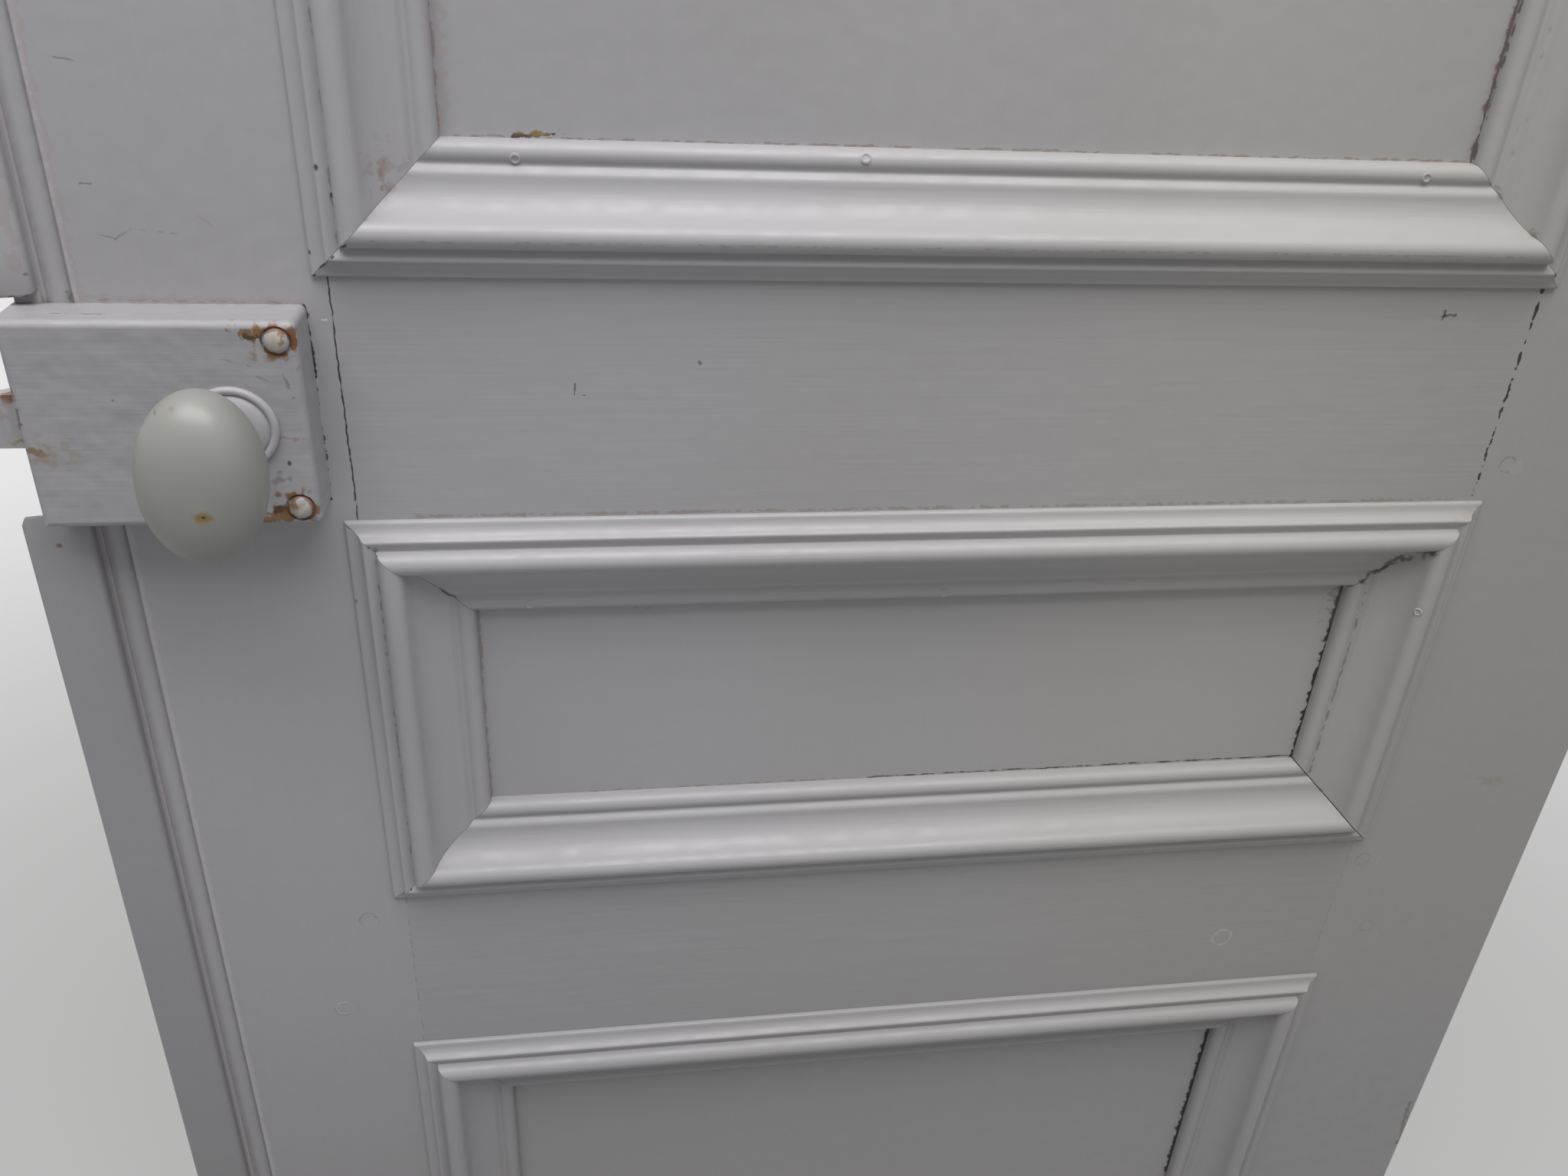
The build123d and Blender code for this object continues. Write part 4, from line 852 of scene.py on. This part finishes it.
def moulding_frame(panel, side, corner_gaps, seed):
    """Four mitred mouldings on one face of a panel, open by these gaps in millimetres at the mitres."""
    stem = f"{panel}_{side}_moulding_"
    low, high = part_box(stem + "bottom")[0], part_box(stem + "top")[1]
    half_width, half_height = (high[0] - low[0]) / 2, (high[2] - low[2]) / 2
    out = Vector((0.0, -1.0 if side == "inside" else 1.0, 0.0))
    centre = Vector(((low[0] + high[0]) / 2, out.y * abs(face) * MM, (low[2] + high[2]) / 2))
    bottom_left, bottom_right, top_right, top_left = (gap * MM for gap in corner_gaps)
    level_paint, upright_paint = moulding_paints.get(f"{panel}_{side}", plain_moulding_paints)
    sides = {"bottom": (Vector((0, 0, 1)), half_width, half_height, level_paint, bottom_left, bottom_right),
             "top": (Vector((0, 0, -1)), half_width, half_height, level_paint, top_right, top_left),
             "left": (Vector((1, 0, 0)), half_height, half_width, upright_paint, top_left, bottom_left),
             "right": (Vector((-1, 0, 0)), half_height, half_width, upright_paint, bottom_right, top_right)}
    parts = []
    for number, (inward, half, away, paint, low_gap, high_gap) in enumerate(sides.values()):
        mesh = grown(section_mesh, run_tree, {
            "Half Length": half, "Low Gap": low_gap, "High Gap": high_gap, "Waviness": 0.7 * MM,
            "Stations": round(2 * half / station_spacing), "Seed": seed + 1.7 * number, "Paint": paint})
        turn = Matrix((inward, out, inward.cross(out))).transposed().to_4x4()
        mesh.transform(Matrix.Translation(centre - inward * away) @ turn)
        parts.append((mesh, paint))
    piece = joined(f"{panel}_{side}_mouldings", parts)
    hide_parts(*[stem + name for name in sides])
    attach(piece, "leaf")
    return piece


station_spacing = 7 * MM
moulding_frames = [moulding_frame(*frame_facts) for frame_facts in (
    # panel, side, gaps at the bottom left, bottom right, top right and top left, seed
    ("top_panel", "inside", (0.08, 0.12, 0.10, 0.10), 3.0),
    ("middle_panel", "inside", (0.14, 0.35, 0.10, 0.14), 11.0),
    ("bottom_panel", "inside", (0.12, 0.12, 0.10, 0.12), 19.0),
    ("top_panel", "outside", (0.10, 0.12, 0.10, 0.14), 31.0),
    ("middle_panel", "outside", (0.12, 0.10, 0.16, 0.10), 43.0),
    ("bottom_panel", "outside", (0.14, 0.10, 0.12, 0.10), 57.0))]
for piece in moulding_frames:
    print(piece.name, "faces:", len(piece.data.polygons))

# %% [markdown]
# ## Knobs
# The knobs are oval china: slip cast, glazed and fired, so they are smooth and glossy, a little
# flatter in front than an egg, with a soft shoulder. A ball is pushed to that shape by a rule: each
# point moves out until its sideways reach and its depth, each raised to a power a little over two,
# add up to one.
# The glaze has a brown chip with a stain round it and fine grey scratches.

# %% Shape and glaze the knobs
def china_glaze():
    """Glossy off-white glaze with its chip, scratches and stains."""
    material, tree, shader, place = start_material("china_glaze")
    colour = blend(tree, ramp(tree, cloud(tree, place, 30.0, 3.0), 0.4, 0.7, 0.0, 0.5),
                   (0.285, 0.290, 0.270, 1.0), (0.250, 0.257, 0.238, 1.0))
    marks = [
        spot((-312.6, -113.8, 991.9), (4.2, 4, 3.2), 1.2, ochre, 0.35),
        spot((-312.6, -113.8, 991.9), (2.3, 4, 1.9), 1.6, ochre, 0.9),
        spot((-312.4, -113.8, 992.1), (0.8, 3, 0.7), 1, deep_rust, 0.9),
        line((-327.8, -110.9, 1007.2), (-323.1, -112.9, 1007), 0.5, 1.4, grey, 0.8),
        line((-322.5, -113.1, 1006.6), (-319.7, -114, 1004.5), 0.5, 1.8, grey, 0.8),
        line((-319.7, -114, 1004.5), (-317.3, -114.4, 1001), 0.5, 2, grey, 0.8),
        line((-318.8, -114.3, 1000.3), (-316.6, -114.5, 1000.5), 0.6, 1.4, grey, 0.85),
        line((-321.7, -113.8, 996.4), (-319.8, -114.1, 995.5), 0.7, 1.4, grey, 0.85),
        spot((-315.4, -114.5, 998), (0.6, 2, 0.5), 1, grey, 0.7),
        spot((-325.4, -101.3, 1027.9), (0.9, 3, 0.7), 1.2, grey, 0.85),
        spot((-318.6, -102.6, 1030.6), (1.8, 3, 0.7), 1.8, tan, 0.7),
    ]
    colour = add_marks(tree, place, colour, marks)
    rough = ramp(tree, cloud(tree, place, 60.0, 3.0), 0.3, 0.7, 0.34, 0.44)
    finish_look(tree, shader, colour, rough, maths(tree, "MULTIPLY", cloud(tree, place, 25.0, 0.0), 0.0003))
    return material


knob_half_sizes = (23.3, 19.5, 34.5)  # millimetres
knob_lean = math.radians(4.5)
squareness = 2.22
glaze = china_glaze()


def china_knob(node):
    """An oval knob in the place of a CAD node, its long way leaning from upright."""
    low, high = (Vector(corner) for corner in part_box(node))
    form = bmesh.new()
    bmesh.ops.create_icosphere(form, subdivisions=6, radius=1.0)
    half = Vector(knob_half_sizes) * MM
    turn = Matrix.Rotation(knob_lean, 3, "Y")
    for point in form.verts:
        round_part = math.hypot(point.co.x, point.co.z)
        size = (round_part ** squareness + abs(point.co.y) ** squareness) ** (1.0 / squareness)
        oval = Vector(axis * reach / size for axis, reach in zip(point.co, half))
        point.co = (low + high) / 2 + turn @ oval
    piece = new_object(node + "_china", smooth_mesh_of(node + "_china", form, [glaze], 38))
    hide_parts(node)
    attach(piece, "knobs")
    print(piece.name, "size, mm:", [round(length / MM, 1) for length in piece.dimensions])


china_knob("inside_knob")
china_knob("outside_knob")

# %% [markdown]
# ## Screws and nail heads
# Round-head screws hold the lock, and the mouldings are held by nails whose holes were stopped with
# putty: under the paint each shows as a small ring. Both repeat, so one Geometry Nodes tree sets a
# head on every point of a host mesh, turned by chance round its own axis and aimed along the point's
# own direction.

# %% Shape the heads and set the screws
def turned_head(name, radius, profile, slot_depth, slot_width, material):
    """A round head along +Z with a slot, in millimetres; profile gives height by share of the radius."""
    rings, spokes, foot = 10, 28, -1.0
    points = [(0.0, 0.0, profile(0.0) - slot_depth)]
    for ring_number in range(1, rings + 1):
        share = ring_number / rings
        for spoke in range(spokes):
            turn = 2.0 * math.pi * spoke / spokes
            x, y = radius * share * math.cos(turn), radius * share * math.sin(turn)
            cut = slot_depth * math.exp(-(2.0 * y / slot_width) ** 4) * (share < 0.96)
            points.append((x, y, profile(share) - cut))
    points += [(x, y, foot) for x, y, z in points[-spokes:]] + [(0.0, 0.0, foot)]
    faces = [(0, 1 + spoke, 1 + (spoke + 1) % spokes) for spoke in range(spokes)]
    for ring_number in range(rings):
        first = 1 + ring_number * spokes
        faces += [(first + spoke, first + spokes + spoke, first + spokes + (spoke + 1) % spokes,
                   first + (spoke + 1) % spokes) for spoke in range(spokes)]
    last = 1 + rings * spokes
    faces += [(len(points) - 1, last + (spoke + 1) % spokes, last + spoke) for spoke in range(spokes)]
    mesh = bpy.data.meshes.new(name)
    mesh.from_pydata([millimetres(point) for point in points], [], faces)
    mesh.materials.append(material)
    return new_object(name, mesh)


tree, given = node_tree("set_heads", ("Head", "NodeSocketObject"), ("Seed", "NodeSocketInt"))
aim = add_node(tree, "GeometryNodeInputNamedAttribute", {"Name": "aim"}, data_type="FLOAT_VECTOR")
aimed = add_node(tree, "FunctionNodeAlignRotationToVector", {"Vector": aim}, axis="Z")
chance = add_node(tree, "FunctionNodeRandomValue", {"Min": 0.0, "Max": 6.283, "Seed": given["Seed"]})
chance = next(output for output in chance.outputs if output.enabled)
spin = add_node(tree, "FunctionNodeAxisAngleToRotation", {"Axis": (0.0, 0.0, 1.0), "Angle": chance})
aimed = add_node(tree, "FunctionNodeRotateRotation", {0: aimed, 1: spin}, rotation_space="LOCAL")
model = add_node(tree, "GeometryNodeObjectInfo", {"Object": given["Head"]}).outputs["Geometry"]
heads = add_node(tree, "GeometryNodeInstanceOnPoints",
                 {"Points": given["Geometry"], "Instance": model, "Rotation": aimed})
close_tree(tree, given, add_node(tree, "GeometryNodeRealizeInstances", {0: heads}))
head_tree = tree


def set_of_heads(name, places, head, paint, seed):
    """One object with a head at every place, given as a point and a direction in millimetres."""
    host = bpy.data.meshes.new(name + "_places")
    host.from_pydata([millimetres(point) for point, direction in places], [], [])
    aims = host.attributes.new("aim", "FLOAT_VECTOR", "POINT")
    for item, (point, direction) in zip(aims.data, places):
        item.vector = direction
    mesh = grown(host, head_tree, {"Head": head, "Seed": seed, "Paint": paint})
    bpy.data.objects.remove(head)
    return joined(name, [(mesh, paint)])


def domed(share):
    """Height of a round screw head, by share of its radius."""
    return 3.1 * math.sqrt(max(0.0, 1.0 - (0.985 * share) ** 2.3)) - 0.15


def stopped(share):
    """Height of a stopped nail hole: a rim round a shallow hollow."""
    return 0.42 * math.exp(-((share - 0.72) / 0.20) ** 2)


screw_x, upper_screw_z, lower_screw_z = -294.25, 1036.0, 963.0
screw_paint = brushed_paint("screw_paint", LEVEL, [
    spot((screw_x, -47.5, upper_screw_z), (5, 6, 5), 0.6, cream, 0.6),
    spot((screw_x, -47.5, lower_screw_z), (5, 6, 5), 0.6, cream, 0.5),
    spot((-291, -48, 1038.5), (2.6, 5, 3.6), 2, orange, 0.7),
    ring((screw_x, -46.5, upper_screw_z), 5.2, 1.6, 2.4, rust, 0.8),
    ring((screw_x, -46.5, lower_screw_z), 5.2, 1.6, 2.4, rust, 0.8),
    spot((-297, -47.5, 965.5), (2.2, 4, 2), 2, rust, 0.8),
    line((-294.5, -49, 967), (-293, -49, 959.5), 1, 2.4, rust, 0.6),
], dirt=0.2, lump=0.0007)
screw_places = [((screw_x, -45.0, upper_screw_z), (0, -1, 0)), ((screw_x, -45.0, lower_screw_z), (0, -1, 0)),
                ((-399.0, -15.0, 1035.5), (-1, 0, 0)), ((-399.0, -15.0, 963.5), (-1, 0, 0))]
screw_heads = set_of_heads("lock_screw_heads", screw_places,
                           turned_head("painted_head", 5.3, domed, 0.35, 2.2, screw_paint), screw_paint, 4)
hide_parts("lock_screws")
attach(screw_heads, "leaf")
print("screw heads:", len(screw_places))


# %% Set the stopped nail holes
def section_point(inward):
    """Height of the moulding above the door's face and its outward direction, by distance from the lip."""
    for (u, h), (next_u, next_h) in zip(section, section[1:]):
        if u <= inward < next_u:
            outward = Vector((h - next_h, next_u - u)).normalized()
            return h + (next_h - h) * (inward - u) / (next_u - u), outward


top_lip, middle_lip, right_lip = 1056.0, 945.0, 282.25
nails_seen = [("bottom", top_lip, -198.8, 46.8), ("bottom", top_lip, -54.5, 50.4),
              ("bottom", top_lip, 203.4, 48.0), ("top", middle_lip, -202.8, 49.4),
              ("top", middle_lip, 3.4, 49.3),
              ("right", right_lip, 874.3, 44.7), ("right", right_lip, 885.3, 23.3)]
nail_places = []
for edge, lip_place, run_place, inward in nails_seen:
    lifted, (lean_in, lean_out) = section_point(inward)
    if edge == "right":
        spot_place = (lip_place - inward, face - lifted, run_place)
        direction = (-lean_in, -lean_out, 0.0)
    else:
        upward = 1.0 if edge == "bottom" else -1.0
        spot_place = (run_place, face - lifted, lip_place + upward * inward)
        direction = (0.0, -lean_out, lean_in * upward)
    nail_places.append((spot_place, direction))
hole_paint = plain_moulding_paints[0]
nail_heads = set_of_heads("stopped_nail_holes", nail_places,
                          turned_head("stopped_hole", 2.4, stopped, 0.0, 1.0, hole_paint), hole_paint, 9)
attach(nail_heads, "leaf")
print("stopped nail holes:", len(nail_places))

# %% [markdown]
# ## Latch spring
# Inside the case a coil of spring wire pushes the latch out. Wire wound on a rod follows a rule, so a
# Geometry Nodes tree winds it: a spiral of constant radius with a round section carried along it. It
# is set in the place of the CAD spring, from one end of it to the other.

# %% Wind the latch spring
wire_radius, wire_sides, coil_turns, latch_travel = 0.6 * MM, 12, 7.0, 15.0 * MM
wire_points = arc((0.0, 0.0), wire_radius, 0.0, 360.0, wire_sides)
wire_section = bpy.data.meshes.new("spring_wire_section")
wire_section.from_pydata([(x, y, 0.0) for x, y in wire_points],
                         [(side, (side + 1) % wire_sides) for side in range(wire_sides)], [])
tree, given = node_tree("wound_spring", ("Turns", NUMBER), ("Radius", NUMBER), ("Length", NUMBER))
wire = add_node(tree, "GeometryNodeMeshToCurve", {0: given["Geometry"]})
helix = add_node(tree, "GeometryNodeCurveSpiral",
                 {"Resolution": 40, "Rotations": given["Turns"], "Start Radius": given["Radius"],
                  "End Radius": given["Radius"], "Height": given["Length"]})
wound = add_node(tree, "GeometryNodeCurveToMesh", {"Curve": helix, "Profile Curve": wire, "Fill Caps": True})
close_tree(tree, given, wound)

coil_low, coil_high = (Vector(corner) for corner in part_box("latch_spring"))
coil_middle = (coil_low + coil_high) / 2
coil_length = coil_high.x - coil_low.x
coil_mesh = grown(wire_section, tree, {
    "Turns": coil_turns, "Radius": (coil_high.z - coil_low.z) / 2 - wire_radius,
    "Length": coil_length - 2 * wire_radius, "Paint": steel})
coil_mesh.transform(Matrix.Translation((coil_low.x + wire_radius, coil_middle.y, coil_middle.z))
                    @ Matrix.Rotation(math.radians(90.0), 4, "Y"))
latch_coil = joined("latch_spring_coil", [(coil_mesh, steel)])
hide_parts("latch_spring")
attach(latch_coil, "leaf")
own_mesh(latch_coil)
print("spring, mm:", round(coil_length / MM, 1), "faces:", len(latch_coil.data.polygons))
